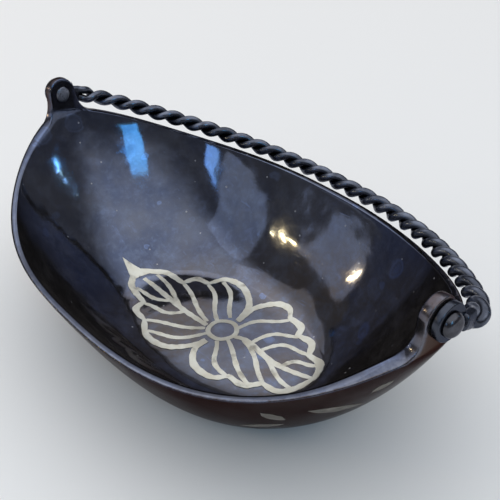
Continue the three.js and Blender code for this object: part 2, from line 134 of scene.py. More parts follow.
def grid_piece(name: str, points: Array) -> bpy.types.Object:
    """Adds a grid primitive and moves its points to a shape.

    Args:
        name: Name of the new object.
        points: Rows by columns by 3 coordinates, in millimetres.

    Returns:
        The new object, at the origin.
    """
    rows, columns = points.shape[:2]
    cells = {"x_subdivisions": columns - 1, "y_subdivisions": rows - 1}
    piece = new_primitive(bpy.ops.mesh.primitive_grid_add, name, **cells)
    set_points(piece, points)
    return piece


def weld(piece: bpy.types.Object) -> None:
    """Merges a mesh's coinciding points and turns its faces outwards.

    Args:
        piece: The mesh to close.
    """
    select_only(piece)
    bpy.ops.object.mode_set(mode="EDIT")
    bpy.ops.mesh.select_all(action="SELECT")
    bpy.ops.mesh.remove_doubles(threshold=WELD_DISTANCE)
    bpy.ops.mesh.normals_make_consistent(inside=False)
    bpy.ops.object.mode_set(mode="OBJECT")


def round_sharp_edges(piece: bpy.types.Object, radius: float, segments: int) -> None:
    """Bevels every sharp edge.

    Args:
        piece: The mesh whose edges are softened.
        radius: Width of the bevel, in millimetres.
        segments: Number of faces across the bevel.
    """
    select_only(piece)
    bpy.ops.object.mode_set(mode="EDIT")
    bpy.ops.mesh.select_mode(type="EDGE")
    bpy.ops.mesh.select_all(action="DESELECT")
    bpy.ops.mesh.edges_select_sharp(sharpness=math.radians(SHARP_ANGLE))
    bpy.ops.mesh.bevel(offset=radius * MM, segments=segments, affect="EDGES")
    bpy.ops.mesh.select_mode(type="VERT")
    bpy.ops.object.mode_set(mode="OBJECT")


def apply_modifier(piece: bpy.types.Object, kind: str, **settings: Any) -> None:
    """Adds a modifier to a piece and applies it.

    Args:
        piece: The mesh to change.
        kind: The modifier's type.
        **settings: The modifier's own properties.
    """
    select_only(piece)
    bpy.ops.object.modifier_add(type=kind)
    modifier = piece.modifiers[-1]
    for key, value in settings.items():
        setattr(modifier, key, value)
    bpy.ops.object.modifier_apply(modifier=modifier.name)


def combine(piece: bpy.types.Object, other: bpy.types.Object, operation: str) -> None:
    """Joins or cuts a piece with another, which is used up.

    Args:
        piece: The mesh that stays.
        other: The mesh that is added or taken away.
        operation: UNION or DIFFERENCE.
    """
    apply_modifier(piece, "BOOLEAN", object=other, operation=operation, solver="EXACT")
    bpy.data.objects.remove(other)


def rod(name: str, radius: float, ends: tuple[float, float], sides: int = 48) -> bpy.types.Object:
    """Adds a round rod along the X axis.

    Args:
        name: Name of the new object.
        radius: Its radius, in millimetres.
        ends: The x of its two ends, in millimetres.
        sides: Number of its sides.

    Returns:
        The rod.
    """
    return new_primitive(
        bpy.ops.mesh.primitive_cylinder_add,
        name,
        vertices=sides,
        radius=radius * MM,
        depth=(ends[1] - ends[0]) * MM,
        location=((ends[0] + ends[1]) / 2 * MM, 0, 0),
        rotation=(0, math.pi / 2, 0),
    )


def move(piece: bpy.types.Object, place: Matrix) -> None:
    """Moves a piece's mesh, and keeps its faces outwards when it is mirrored.

    Args:
        piece: The piece to move.
        place: The transform of its points, in metres.
    """
    piece.data.transform(place)
    if place.determinant() < 0:
        piece.data.flip_normals()
    piece.data.update()


def copy_piece(piece: bpy.types.Object, name: str) -> bpy.types.Object:
    """Copies a piece together with its mesh.

    Args:
        piece: The piece to copy.
        name: Name of the copy.

    Returns:
        The copy.
    """
    twin = piece.copy()
    twin.data = piece.data.copy()
    twin.name = name
    bpy.context.scene.collection.objects.link(twin)
    return twin


def points_of(piece: bpy.types.Object) -> Array:
    """Reads the points of a piece.

    Args:
        piece: The mesh to read.

    Returns:
        One point per row, in millimetres.
    """
    place = np.zeros(len(piece.data.vertices) * 3, np.float32)
    piece.data.vertices.foreach_get("co", place)
    return place.reshape(-1, 3).astype(float) / MM


def set_points(piece: bpy.types.Object, points: Array) -> None:
    """Moves a piece's points.

    Args:
        piece: The mesh to shape.
        points: Its points' new places, in millimetres.
    """
    piece.data.vertices.foreach_set("co", np.ascontiguousarray(points * MM, np.float32).ravel())
    piece.data.update()


def set_mask(piece: bpy.types.Object, mask: Mask, values: Array) -> None:
    """Stores one number per point for a finish to read.

    Args:
        piece: The mesh that carries the numbers.
        mask: The attribute's name.
        values: One number per point.
    """
    attribute = piece.data.attributes.new(mask.value, "FLOAT", "POINT")
    attribute.data.foreach_set("value", values.astype(np.float32))


def nearest(points: Array, targets: Array) -> tuple[Array, Array]:
    """The nearest target of every point.

    Args:
        points: Points to measure from, one per row.
        targets: Points to measure to, one per row.

    Returns:
        The distance to the nearest target and its row, for every point.
    """
    gaps, rows = [], []
    for part in np.array_split(points, max(1, len(points) // BATCH_POINTS)):
        squares = ((part[:, None, :] - targets[None]) ** 2).sum(-1)
        rows.append(squares.argmin(1))
        gaps.append(np.sqrt(squares.min(1)))
    return np.concatenate(gaps), np.concatenate(rows)


def round_corner(start: Any, bend: Any, end: Any, count: int) -> Array:
    """A curve from one point to another that bends towards a third.

    Args:
        start: Its first point.
        bend: The point that it bends towards.
        end: Its last point.
        count: Number of its points.

    Returns:
        The curve's points.
    """
    share = np.linspace(0, 1, count)[:, None]
    a, b, c = (np.asarray(point, float) for point in (start, bend, end))
    return (1 - share) ** 2 * a + 2 * share * (1 - share) * b + share**2 * c


def fade(values: Array, start: float, end: float) -> Array:
    """A smooth step from 0 at start to 1 at end."""
    share = np.clip((values - start) / (end - start), 0, 1)
    return share * share * (3 - 2 * share)


def evened(values: Array, spacing: float, reach: float) -> Array:
    """Evens out a row of values with a bell-shaped window.

    Args:
        values: Evenly spaced values.
        spacing: Distance between them.
        reach: The window's half width.

    Returns:
        The softened values.
    """
    away = np.arange(-math.ceil(3 * reach / spacing), math.ceil(3 * reach / spacing) + 1) * spacing
    window = np.exp(-0.5 * (away / reach) ** 2)
    return np.convolve(values, window / window.sum(), mode="same")


def mount(
    piece: bpy.types.Object, body: Body, node: str, material: bpy.types.Material
) -> None:
    """Dresses a finished piece and sets it on the frame in place of its CAD node.

    Args:
        piece: The finished piece.
        body: The body that it rides on.
        node: The CAD node that it stands for.
        material: Its finish.
    """
    piece.data.materials.clear()
    piece.data.materials.append(material)
    select_only(piece)
    bpy.ops.object.shade_smooth_by_angle(angle=math.radians(SMOOTH_ANGLE))
    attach(piece, body.value)
    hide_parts(node)
    log.info("%s: %d faces on body %s", piece.name, len(piece.data.polygons), body.value)


class Value:
    """A node's output socket that takes part in Python arithmetic."""

    def __init__(self, shader: "Shader", socket: bpy.types.NodeSocket) -> None:
        """Wraps an output socket of a shader's tree."""
        self.shader = shader
        self.socket = socket

    def _math(self, operation: str, first: Any, second: Any) -> "Value":
        """Adds a Math node.

        Args:
            operation: The node's operation.
            first: Its first value or link.
            second: Its second value or link.

        Returns:
            The node's result.
        """
        return self.shader.node("ShaderNodeMath", {"operation": operation}, {0: first, 1: second})["Value"]

    def __add__(self, other: Any) -> "Value":
        """Sum with a number or a value."""
        return self._math("ADD", self, other)

    def __radd__(self, other: Any) -> "Value":
        """Sum with a number on the left."""
        return self._math("ADD", other, self)

    def __sub__(self, other: Any) -> "Value":
        """Difference to a number or a value."""
        return self._math("SUBTRACT", self, other)

    def __rsub__(self, other: Any) -> "Value":
        """Difference from a number on the left."""
        return self._math("SUBTRACT", other, self)

    def __mul__(self, other: Any) -> "Value":
        """Product with a number or a value."""
        return self._math("MULTIPLY", self, other)

    def __rmul__(self, other: Any) -> "Value":
        """Product with a number on the left."""
        return self._math("MULTIPLY", other, self)

    def __abs__(self) -> "Value":
        """Size without sign."""
        return self._math("ABSOLUTE", self, 0.0)

    def least(self, other: Any) -> "Value":
        """The smaller of two values."""
        return self._math("MINIMUM", self, other)

    def most(self, other: Any) -> "Value":
        """The larger of two values."""
        return self._math("MAXIMUM", self, other)

    def step(self, start: float, end: float) -> "Value":
        """A smooth step of the value.

        Args:
            start: Where the step is 0.
            end: Where the step is 1.

        Returns:
            A value from 0 to 1.
        """
        settings = {"interpolation_type": "SMOOTHSTEP"}
        ends = {"Value": self, "From Min": start, "From Max": end}
        return self.shader.node("ShaderNodeMapRange", settings, ends)["Result"]


class Shader:
    """A node material, or the world, under construction."""

    def __init__(self, tree: bpy.types.NodeTree) -> None:
        """Starts from an empty node tree."""
        self.tree = tree
        tree.nodes.clear()

    def node(
        self, kind: str, settings: dict[str, Any] | None = None, inputs: dict[Any, Any] | None = None
    ) -> dict[str, Value]:
        """Adds a node.

        Args:
            kind: The node's type.
            settings: The node's own properties, which are set first.
            inputs: Values or links of its sockets, by name or number.

        Returns:
            The node's outputs by name.
        """
        made = self.tree.nodes.new(kind)
        for key, value in (settings or {}).items():
            setattr(made, key, value)
        for key, value in (inputs or {}).items():
            socket = made.inputs[key]
            if isinstance(value, Value):
                self.tree.links.new(value.socket, socket)
            elif socket.type == "RGBA":
                socket.default_value = (*value, 1.0)
            else:
                socket.default_value = value
        return {out.name: Value(self, out) for out in made.outputs if out.enabled}

    def coordinates(self, stretch: Colour = (1, 1, 1), turn: Colour = (0, 0, 0)) -> Value:
        """The piece's own coordinates.

        Args:
            stretch: Scale along each axis.
            turn: Turn about each axis, in degrees.

        Returns:
            The coordinates, in metres before the stretch.
        """
        place = self.node("ShaderNodeTexCoord")["Object"]
        if stretch == (1, 1, 1) and turn == (0, 0, 0):
            return place
        angles = tuple(math.radians(angle) for angle in turn)
        inputs = {"Vector": place, "Rotation": angles, "Scale": stretch}
        return self.node("ShaderNodeMapping", None, inputs)["Vector"]

    def noise(self, place: Value, size: float, detail: float = 3.0, roughness: float = 0.5) -> Value:
        """A cloudy pattern from 0 to 1.

        Args:
            place: Coordinates.
            size: Size of its clouds, in millimetres.
            detail: Number of finer layers.
            roughness: Share of each finer layer.

        Returns:
            The pattern.
        """
        inputs = {"Vector": place, "Scale": 1 / (size * MM), "Detail": detail, "Roughness": roughness}
        return self.node("ShaderNodeTexNoise", None, inputs)["Fac"]

    def shaken(self, place: Value, size: float, reach: float) -> Value:
        """Coordinates pushed about by a cloudy pattern.

        Args:
            place: Coordinates.
            size: Size of the pattern's clouds, in millimetres.
            reach: How far they are pushed, in millimetres.

        Returns:
            The moved coordinates.
        """
        inputs = {"Vector": place, "Scale": 1 / (size * MM), "Detail": 2.0}
        push = self.node("ShaderNodeTexNoise", None, inputs)["Color"]
        moves = {0: push, 1: (reach * MM,) * 3, 2: place}
        return self.node("ShaderNodeVectorMath", {"operation": "MULTIPLY_ADD"}, moves)["Vector"]

    def cells(self, place: Value, size: float) -> tuple[Value, Value]:
        """Scattered points, one to a cell.

        Args:
            place: Coordinates.
            size: Size of a cell, in millimetres.

        Returns:
            The distance to the nearest point, in cells, and a number of its own for each cell.
        """
        made = self.node("ShaderNodeTexVoronoi", None, {"Vector": place, "Scale": 1 / (size * MM)})
        lot = self.node("ShaderNodeSeparateColor", None, {"Color": made["Color"]})["Red"]
        return made["Distance"], lot

    def mask(self, mask: Mask) -> Value:
        """A point attribute of the piece."""
        return self.node("ShaderNodeAttribute", {"attribute_name": mask.value})["Fac"]

    def blend(self, share: Any, first: Any, second: Any) -> Value:
        """A mix of two colours.

        Args:
            share: How much of the second colour, from 0 to 1.
            first: The first colour.
            second: The second colour.

        Returns:
            The mixed colour.
        """
        return self.node("ShaderNodeMix", {"data_type": "RGBA"}, {0: share, 6: first, 7: second})["Result"]

    def bump(self, height: Value, strength: float, depth: float) -> Value:
        """A normal that leans with a height.

        Args:
            height: The height, from 0 to 1.
            strength: Share of the lean that is used.
            depth: What a height of 1 stands for, in millimetres.

        Returns:
            The normal.
        """
        inputs = {"Height": height, "Strength": strength, "Distance": depth * MM}
        return self.node("ShaderNodeBump", None, inputs)["Normal"]

    def surface(self, film: tuple[Value, Colour] | None = None, **sockets: Any) -> None:
        """Ends the material with one principled surface.

        Args:
            film: Share and colour of a matt film over it.
            **sockets: Its sockets, with _ for a space in their names.
        """
        inputs = {key.replace("_", " "): value for key, value in sockets.items()}
        made = self.node("ShaderNodeBsdfPrincipled", None, inputs)["BSDF"]
        if film:
            matt = self.node("ShaderNodeBsdfDiffuse", None, {"Color": film[1]})["BSDF"]
            made = self.node("ShaderNodeMixShader", None, {0: film[0], 1: made, 2: matt})["Shader"]
        self.node("ShaderNodeOutputMaterial", None, {"Surface": made})


def new_material(name: str) -> tuple[bpy.types.Material, Shader]:
    """Makes an empty node material.

    Args:
        name: The material's name.

    Returns:
        The material and the shader that fills it.
    """
    material = bpy.data.materials.new(name)
    material.use_nodes = True
    return material, Shader(material.node_tree)


@dataclass(frozen=True)
class BlackAlloyFinish:
    """Blackened cast metal, waxed, with satin patches, water marks, scratches, dust, a worn edge lightened on
    the near side as a painted highlight, and an outer face whose dark brown is partly a painted warm
    reflection.
    """

    black: Colour = (0.046, 0.060, 0.108)
    satin: Colour = (0.090, 0.099, 0.132)
    brown: Colour = (0.092, 0.073, 0.060)
    bloom: Colour = (0.108, 0.135, 0.205)
    # Dark brown of the outer face: its own dark colour, with a warm tint that is a painted reflection.
    outside: Colour = (0.088, 0.058, 0.042)
    stain: Colour = (0.15, 0.20, 0.35)
    # Colour of the worn edge; the wear mask raises it on the near side as a painted highlight.
    worn: Colour = (0.16, 0.17, 0.21)
    dust: Colour = (0.42, 0.41, 0.40)
    film: Colour = (0.26, 0.23, 0.22)
    edge: Colour = (0.28, 0.26, 0.27)
    base_roughness: float = 0.03
    wax_roughness: float = 0.05
    brown_full: float = 8.0
    brown_end: float = 24.0
    brown_lean: float = 0.35
    cloud_size: float = 26.0
    tint_size: float = 34.0
    bloom_size: float = 10.0
    mottle_size: float = 3.6
    fine_size: float = 1.5
    grain_size: float = 0.9
    dent_sizes: tuple[float, float] = (17.0, 6.0)
    dent_depth: float = 0.9
    stain_sizes: tuple[float, float] = (13.0, 5.0)
    speck_spacing: float = 2.4
    rubbed_size: float = 2.2
    scratch_width: float = 0.5
    scratch_patch: float = 9.0

    def make(self) -> bpy.types.Material:
        """Builds the material.

        Returns:
            The material.
        """
        material, shader = new_material("black_alloy_waxed")
        place = shader.coordinates()
        inside = shader.mask(Mask.INSIDE)
        edge_wear_and_highlight = shader.mask(Mask.WEAR)
        cloud = shader.noise(place, self.cloud_size, 4, 0.6).step(0.38, 0.66)
        turned = shader.coordinates((1, 1, 1), (0, 0, 70))
        tint = shader.noise(turned, self.tint_size, 3, 0.55).step(0.42, 0.62)
        spot = shader.node("ShaderNodeSeparateXYZ", None, {"Vector": place})
        low = (spot["Z"] - spot["X"] * self.brown_lean).step(self.brown_end * MM, self.brown_full * MM)
        mottle = shader.noise(shader.shaken(place, 7, 6), self.mottle_size, 4, 0.62)
        bloom = shader.noise(shader.shaken(place, 14, 9), self.bloom_size, 5, 0.68).step(0.46, 0.68)
        fine = shader.noise(shader.shaken(place, 3, 2), self.fine_size, 3, 0.65).step(0.5, 0.68)
        grain = shader.noise(place, self.grain_size, 2, 0.6)
        scratch = self._scratches(shader)
        stain = self._stains(shader, place) * inside
        dust = self._dust(shader, place) * inside
        rubbed = edge_wear_and_highlight * shader.noise(place, self.rubbed_size, 3, 0.65).step(0.3, 0.65)
        colour = shader.blend(cloud, self.black, self.satin)
        colour = shader.blend((tint * 0.5 + 0.35) * low, colour, self.brown)
        colour = shader.blend((bloom * 0.5 + fine * 0.25) * inside, colour, self.bloom)
        # Outer faces take the dark brown, whose warm tint is a painted reflection.
        colour = shader.blend((1 - inside) * 0.85, colour, self.outside)
        spots = mottle.step(0.5, 0.74) * 0.2 + stain * 0.85 + scratch * 0.3
        colour = shader.blend((spots * inside).least(1.0), colour, self.stain)
        # Worn edge colour: real wear, and on the near side partly a painted highlight.
        colour = shader.blend(rubbed * 0.8, colour, self.worn)
        colour = shader.blend(dust, colour, self.dust)
        dulled = cloud * 0.03 + mottle * 0.07 + (grain - 0.5) * 0.05 + stain * 0.1 + (1 - inside) * 0.16
        wax = (0.4 - cloud * 0.15 - stain * 0.2 - rubbed * 0.3 - (1 - inside) * 0.3).most(0.0)
        wide, small = self.dent_sizes
        dents = shader.noise(place, wide, 2, 0.5) * 0.75 + shader.noise(place, small, 1, 0.5) * 0.12
        height = dents + grain * 0.008 + mottle * 0.02 + scratch * -0.012
        shader.surface(
            Base_Color=colour,
            Metallic=1 - dust,
            Roughness=dulled + self.base_roughness,
            Specular_Tint=self.edge,
            Coat_Weight=wax,
            Coat_Roughness=self.wax_roughness,
            Normal=shader.bump(height, 0.5, self.dent_depth),
            film=(bloom * 0.03 + mottle * 0.05 + 0.008, self.film),
        )
        return material

    def _scratches(self, shader: Shader) -> Value:
        """Fine scratches that run two ways.

        Args:
            shader: The material's shader.

        Returns:
            A mask from 0 to 1.
        """
        lines = []
        for turn in ((0, 0, 28), (0, 0, -52)):
            along = shader.coordinates((0.05, 1.0, 0.4), turn)
            lines.append(shader.noise(along, self.scratch_width, 1, 0.4).step(0.70, 0.78))
        sparse = shader.noise(shader.coordinates(), self.scratch_patch, 2, 0.5).step(0.5, 0.64)
        return lines[0].most(lines[1]) * sparse

    def _stains(self, shader: Shader, place: Value) -> Value:
        """Dried drops: uneven outlines with a faint fill, in some cells only.

        Args:
            shader: The material's shader.
            place: Coordinates.

        Returns:
            A mask from 0 to 1.
        """
        moved = shader.shaken(place, 5, 4)
        marks = []
        for size, share, radius in zip(self.stain_sizes, (0.7, 0.86), (0.2, 0.22)):
            distance, lot = shader.cells(moved, size)
            ring = abs(distance - radius).step(0.06, 0.0) * 0.6
            fill = distance.step(radius, radius * 0.6) * 0.5
            marks.append(ring.most(fill) * lot.step(share, share + 0.06))
        return marks[0].most(marks[1])

    def _dust(self, shader: Shader, place: Value) -> Value:
        """Sparse specks of dust.

        Args:
            shader: The material's shader.
            place: Coordinates.

        Returns:
            A mask from 0 to 1.
        """
        distance, lot = shader.cells(place, self.speck_spacing)
        return distance.step(0.16, 0.08) * lot.step(0.86, 0.9) * 0.6


@dataclass(frozen=True)
class HandleFinish:
    """Blackened wire, near black in its grooves as painted shade, and brighter on its crests as a painted
    highlight that is partly real rubbing.
    """

    # Near-black colour of the hollows between the strands: painted shade.
    groove_painted_shade: Colour = (0.014, 0.014, 0.018)
    black: Colour = (0.046, 0.051, 0.068)
    # Lighter colour of the rubbed crests: partly real wear, partly a painted highlight.
    crest: Colour = (0.15, 0.168, 0.225)
    edge: Colour = (0.35, 0.36, 0.42)
    roughness: float = 0.28
    wax_roughness: float = 0.16
    grain_depth: float = 0.12
    patch_size: float = 5.0
    grain_size: float = 0.5

    def make(self) -> bpy.types.Material:
        """Builds the material.

        Returns:
            The material.
        """
        material, shader = new_material("handle_wire_black")
        place = shader.coordinates()
        height = shader.mask(Mask.CREST)
        patch = shader.noise(place, self.patch_size, 3, 0.6)
        grain = shader.noise(place, self.grain_size, 2, 0.6)
        rubbed = height.step(0.55, 1.0) * patch.step(0.32, 0.68)
        # Painted shade: the points nearest the pair's middle go near black.
        colour = shader.blend(height.step(0.0, 0.55), self.groove_painted_shade, self.black)
        # Rubbed crests turn lighter: partly real wear, partly a painted highlight.
        colour = shader.blend(rubbed * 0.75, colour, self.crest)
        shader.surface(
            Base_Color=colour,
            Metallic=1.0,
            Roughness=self.roughness + (patch - 0.5) * 0.16 + (grain - 0.5) * 0.12,
            Specular_Tint=self.edge,
            Coat_Weight=rubbed * 0.4 + 0.25,
            Coat_Roughness=self.wax_roughness,
            Normal=shader.bump(grain * 0.5 + patch * 0.5, 0.3, self.grain_depth),
        )
        return material


@dataclass(frozen=True)
class RivetFinish:
    """Blackened rivets, polished by handling on their domes and bright where they are peened."""

    black: Colour = (0.044, 0.044, 0.051)
    bright: Colour = (0.105, 0.105, 0.125)
    beaten: Colour = (0.36, 0.38, 0.46)
    edge: Colour = (0.5, 0.5, 0.55)
    roughness: float = 0.15
    wax_roughness: float = 0.1
    grain_depth: float = 0.2
    patch_size: float = 2.2
    grain_size: float = 0.4

    def make(self) -> bpy.types.Material:
        """Builds the material.

        Returns:
            The material.
        """
        material, shader = new_material("rivet_black")
        place = shader.coordinates()
        patch = shader.noise(place, self.patch_size, 3, 0.6)
        grain = shader.noise(place, self.grain_size, 2, 0.6)
        peened = shader.mask(Mask.TARNISH)
        rubbed = shader.mask(Mask.WEAR) * patch.step(0.3, 0.7)
        colour = shader.blend(rubbed * 0.8, self.black, self.bright)
        shader.surface(
            Base_Color=shader.blend(peened * grain.step(0.25, 0.6) * 0.8, colour, self.beaten),
            Metallic=1.0,
            Roughness=self.roughness + patch * 0.12 + (grain - 0.5) * 0.08 + peened * 0.3,
            Specular_Tint=self.edge,
            Coat_Weight=0.3 - peened * 0.3,
            Coat_Roughness=self.wax_roughness,
            Normal=shader.bump(grain * 0.4 + patch * 0.6, 0.4, self.grain_depth),
        )
        return material


@dataclass(frozen=True)
class SilverFinish:
    """Hand-cut silver, satin and warm, with grey tarnish and fine scratches."""

    silver: Colour = (0.59, 0.575, 0.505)
    warm: Colour = (0.53, 0.50, 0.415)
    tarnish: Colour = (0.115, 0.10, 0.085)
    roughness: float = 0.40
    grain_depth: float = 0.06
    cloud_size: float = 7.5
    warm_size: float = 3.0
    grain_size: float = 0.45
    brush_size: float = 0.3

    def make(self) -> bpy.types.Material:
        """Builds the material.

        Returns:
            The material.
        """
        material, shader = new_material("silver_inlay")
        place = shader.coordinates()
        cloud = shader.noise(place, self.cloud_size, 4, 0.62)
        grain = shader.noise(place, self.grain_size, 2, 0.6)
        strokes = shader.coordinates((0.08, 1.0, 1.0), (0, 0, 35))
        brushed = shader.noise(strokes, self.brush_size, 2, 0.5)
        warm = shader.noise(place, self.warm_size, 2, 0.5).step(0.35, 0.7)
        dull = (cloud.step(0.56, 0.74) * 0.7).most(shader.mask(Mask.TARNISH) * cloud.step(0.2, 0.45))
        colour = shader.blend(warm, self.silver, self.warm)
        colour = shader.blend((dull * 0.9 + brushed.step(0.66, 0.8) * 0.25).least(1.0), colour, self.tarnish)
        shader.surface(
            Base_Color=colour,
            Metallic=1.0,
            Roughness=self.roughness + dull * 0.12 + (grain - 0.5) * 0.14,
            Normal=shader.bump(grain * 0.6 + brushed * 0.4, 0.3, self.grain_depth),
        )
        return material


@dataclass
class BowlBody:
    """The cast shell: a saddle-shaped rim, drawn up at each nose into a lug."""

    rim_half_length: float = 75.0
    rim_half_width: float = 43.0
    rim_power: float = 2.48
    rim_rounding: float = 0.64
    rim_height: float = 31.5
    nose_rise: float = 15.0
    nose_rise_power: float = 4.0
    nose_flat: float = 0.7
    wall: float = 2.6
    floor: float = 3.0
    base_half_length: float = 35.5
    base_half_width: float = 22.0
    belly_spread: float = 1.29
    belly_lift: float = 1.87
    lug_width: float = 8.8
    lug_above_pivot: float = 4.9
    lug_flare: float = 5.0
    pivot_rise: float = 5.7
    hole_radius: float = 1.8
    rim_thickness: float = 1.75
    lug_thickness: float = 2.6
    thin_start: float = 0.1
    floor_blend: float = 3.2
    edge_radius: float = 0.45
    edge_segments: int = 4
    lug_columns: int = 14
    rim_columns: int = 64
    climb_rows: int = 64
    flat_rows: int = 16
    riser_scale: float = 70.0
    seat_blend: float = 0.8
    root_blend: float = 3.6
    root_reach: float = 13.0
    root_spread: tuple[float, float] = (26.0, 8.0)
    root_window: tuple[float, float] = (30.0, 15.0)
    dish_window: tuple[float, float] = (-60.0, 90.0)
    dish_slope: float = 1.5
    dish_known: float = 0.6
    dish_fade: tuple[float, float] = (0.5, 0.2)
    even_step: float = 0.25
    drill_overrun: float = 5.0
    facing_blend: float = 3.0
    spine_share: float = 0.6
    edge_inset: float = 0.15
    wear_start: float = 0.9
    wear_full: float = 0.35
    # Plan direction of the near side, where edge wear is raised as a painted highlight.
    near_highlight_side: tuple[float, float] = (0.64, -0.77)
    wear_least: float = 0.15
    shell: bpy.types.Object | None = field(default=None, init=False)

    @property
    def nose_height(self) -> float:
        """Height of the rim at its noses."""
        return self.rim_height + self.nose_rise

    @property
    def pivot_height(self) -> float:
        """Height of the bail's axis."""
        return self.nose_height + self.pivot_rise

    @property
    def nose_face(self) -> float:
        """The x of the flat seat on each nose."""
        return self.rim_half_length - self.nose_flat

    def rim(self, angles: Array, inset: Any) -> Array:
        """The rim's edge.

        Args:
            angles: Angles of its plan.
            inset: Depth inside the outer skin, one or one per angle.

        Returns:
            One point per angle.
        """
        along, turn = np.cos(angles), np.sign(np.sin(angles))
        across = np.clip(1 - np.abs(along) ** self.rim_power, 0, None) ** self.rim_rounding
        x = (self.rim_half_length - inset) * along
        y = turn * (self.rim_half_width - inset) * across
        return np.stack([x, y, self.rim_height + self.nose_rise * np.abs(along) ** self.nose_rise_power], -1)

    def wall_points(self, angles: Array, climb: Array, inset: Any, bottom: float) -> Array:
        """Points of one skin of the wall.

        Args:
            angles: Angles of the plan.
            climb: How far up the wall, from 0 at the flat bottom to 1 at the rim.
            inset: Depth of the skin inside the outer one, one or one per point.
            bottom: Height of the skin's flat bottom.

        Returns:
            One point per angle and climb.
        """
        rim = self.rim(angles, inset)
        out = np.sin(climb * math.pi / 2) ** self.belly_spread
        up = 1 - np.clip(np.cos(climb * math.pi / 2), 0, None) ** self.belly_lift
        base_x = (self.base_half_length - inset) * np.cos(angles)
        base_y = (self.base_half_width - inset) * np.sin(angles)
        x = self._held(base_x + (rim[..., 0] - base_x) * out, self.nose_face - inset)
        y = base_y + (rim[..., 1] - base_y) * out
        return np.stack([x, y, bottom + (rim[..., 2] - bottom) * up], -1)

    def _held(self, x: Array, limit: Any) -> Array:
        """Keeps x within a limit on both sides, with a soft corner.

        Args:
            x: Places along the bowl.
            limit: The largest distance from its middle.

        Returns:
            The places kept.
        """
        size = np.abs(x)
        share = np.clip(0.5 + (limit - size) / (2 * self.seat_blend), 0, 1)
        return np.sign(x) * (limit + (size - limit) * share - self.seat_blend * share * (1 - share))

    def angle_at(self, y: Array) -> Array:
        """The plan angle, beside the right nose, where the rim is y from the long axis."""
        share = np.clip(y / self.rim_half_width, 0, 1) ** (1 / self.rim_rounding)
        return np.arccos((1 - share) ** (1 / self.rim_power))

    def lug_outline(self) -> Array:
        """Half the outline of a lug.

        Returns:
            Points (y, z) from the top of its head to the foot of its flare.
        """
        half, foot = self.lug_width / 2, self.lug_width / 2 + self.lug_flare
        head = self.pivot_height + self.lug_above_pivot - half
        turn = np.linspace(math.pi / 2, 0, self.lug_columns)
        arc = np.stack([half * np.cos(turn), head + half * np.sin(turn)], -1)
        near, far = (self.rim(self.angle_at(np.array([y])), 0.0)[0, 2] for y in (half, foot))
        flare = round_corner([half, head], [half, near], [foot, far], self.lug_columns)
        return np.concatenate([arc, flare[1:]])

    def columns(self) -> tuple[Array, Array]:
        """Places of the shell's columns of faces.

        Returns:
            The plan angle of every column and the height of its top, once round.
        """
        outline = self.lug_outline()
        lug_angles = self.angle_at(outline[:, 0])
        rest = np.linspace(lug_angles[-1], math.pi / 2, self.rim_columns)[1:]
        angles = np.concatenate([lug_angles, rest])
        tops = np.concatenate([outline[:, 1], self.rim(rest, 0.0)[:, 2]])
        half = np.concatenate([angles, math.pi - angles[-2::-1]])
        half_tops = np.concatenate([tops, tops[-2::-1]])
        return np.concatenate([half, math.pi + half[1:]]), np.concatenate([half_tops, half_tops[1:]])

    def skin(self, angles: Array, tops: Array, inset: float, bottom: float) -> Array:
        """One skin of the shell, from the middle of its flat bottom up to its edge.

        Args:
            angles: Plan angle of each column.
            tops: Height of each column's top.
            inset: Depth of the skin inside the outer one.
            bottom: Height of its flat bottom.

        Returns:
            Rows of points.
        """
        start = self.wall_points(angles, np.zeros_like(angles), inset, bottom)
        flat = [start * np.array([share, share, 1]) for share in np.linspace(0, 1, self.flat_rows)[:-1]]
        rise = np.clip(tops - self.rim(angles, inset)[:, 2], 0, None)
        path = np.linspace(0, 1, self.climb_rows + 1)[:, None] * (1 + rise / self.riser_scale)
        spread = np.broadcast_to(angles, path.shape)
        near = fade(np.abs(self.rim(angles, 0.0)[:, 1]), *self.root_spread)
        kept = self.rim_thickness + (self.lug_thickness - self.rim_thickness) * near
        depth = inset - np.minimum(inset, self.wall - kept) * fade(path, self.thin_start, 1.0)
        wall = self.wall_points(spread, np.minimum(path, 1), depth, bottom)
        wall[..., 2] += np.clip(path - 1, 0, None) * self.riser_scale
        skin = np.concatenate([np.array(flat), wall])
        return self._dished(self._rooted(skin, rise)) if inset else skin

    def _rooted(self, skin: Array, rise: Array) -> Array:
        """Softens the turn from the wall into the lugs.

        Args:
            skin: Rows of points from the middle of the floor up.
            rise: How far each column goes on above the rim.

        Returns:
            The rows with their distances along the bowl evened out near the turn.
        """
        below, above = self.root_window
        near = fade(np.abs(skin[-1, :, 1]), *self.root_spread)
        for column in np.flatnonzero(near):
            x, height = skin[self.flat_rows :, column, 0], skin[self.flat_rows :, column, 2]
            top = height[-1] - rise[column]
            even = np.arange(top - below, height[-1] + above, self.even_step)
            level = evened(np.interp(even, height, x), self.even_step, self.root_blend)
            soft = np.interp(height, even, level)
            share = fade(height, top - self.root_reach, top - self.root_reach / 2) * near[column]
            skin[self.flat_rows :, column, 0] += (soft - x) * share
        return skin

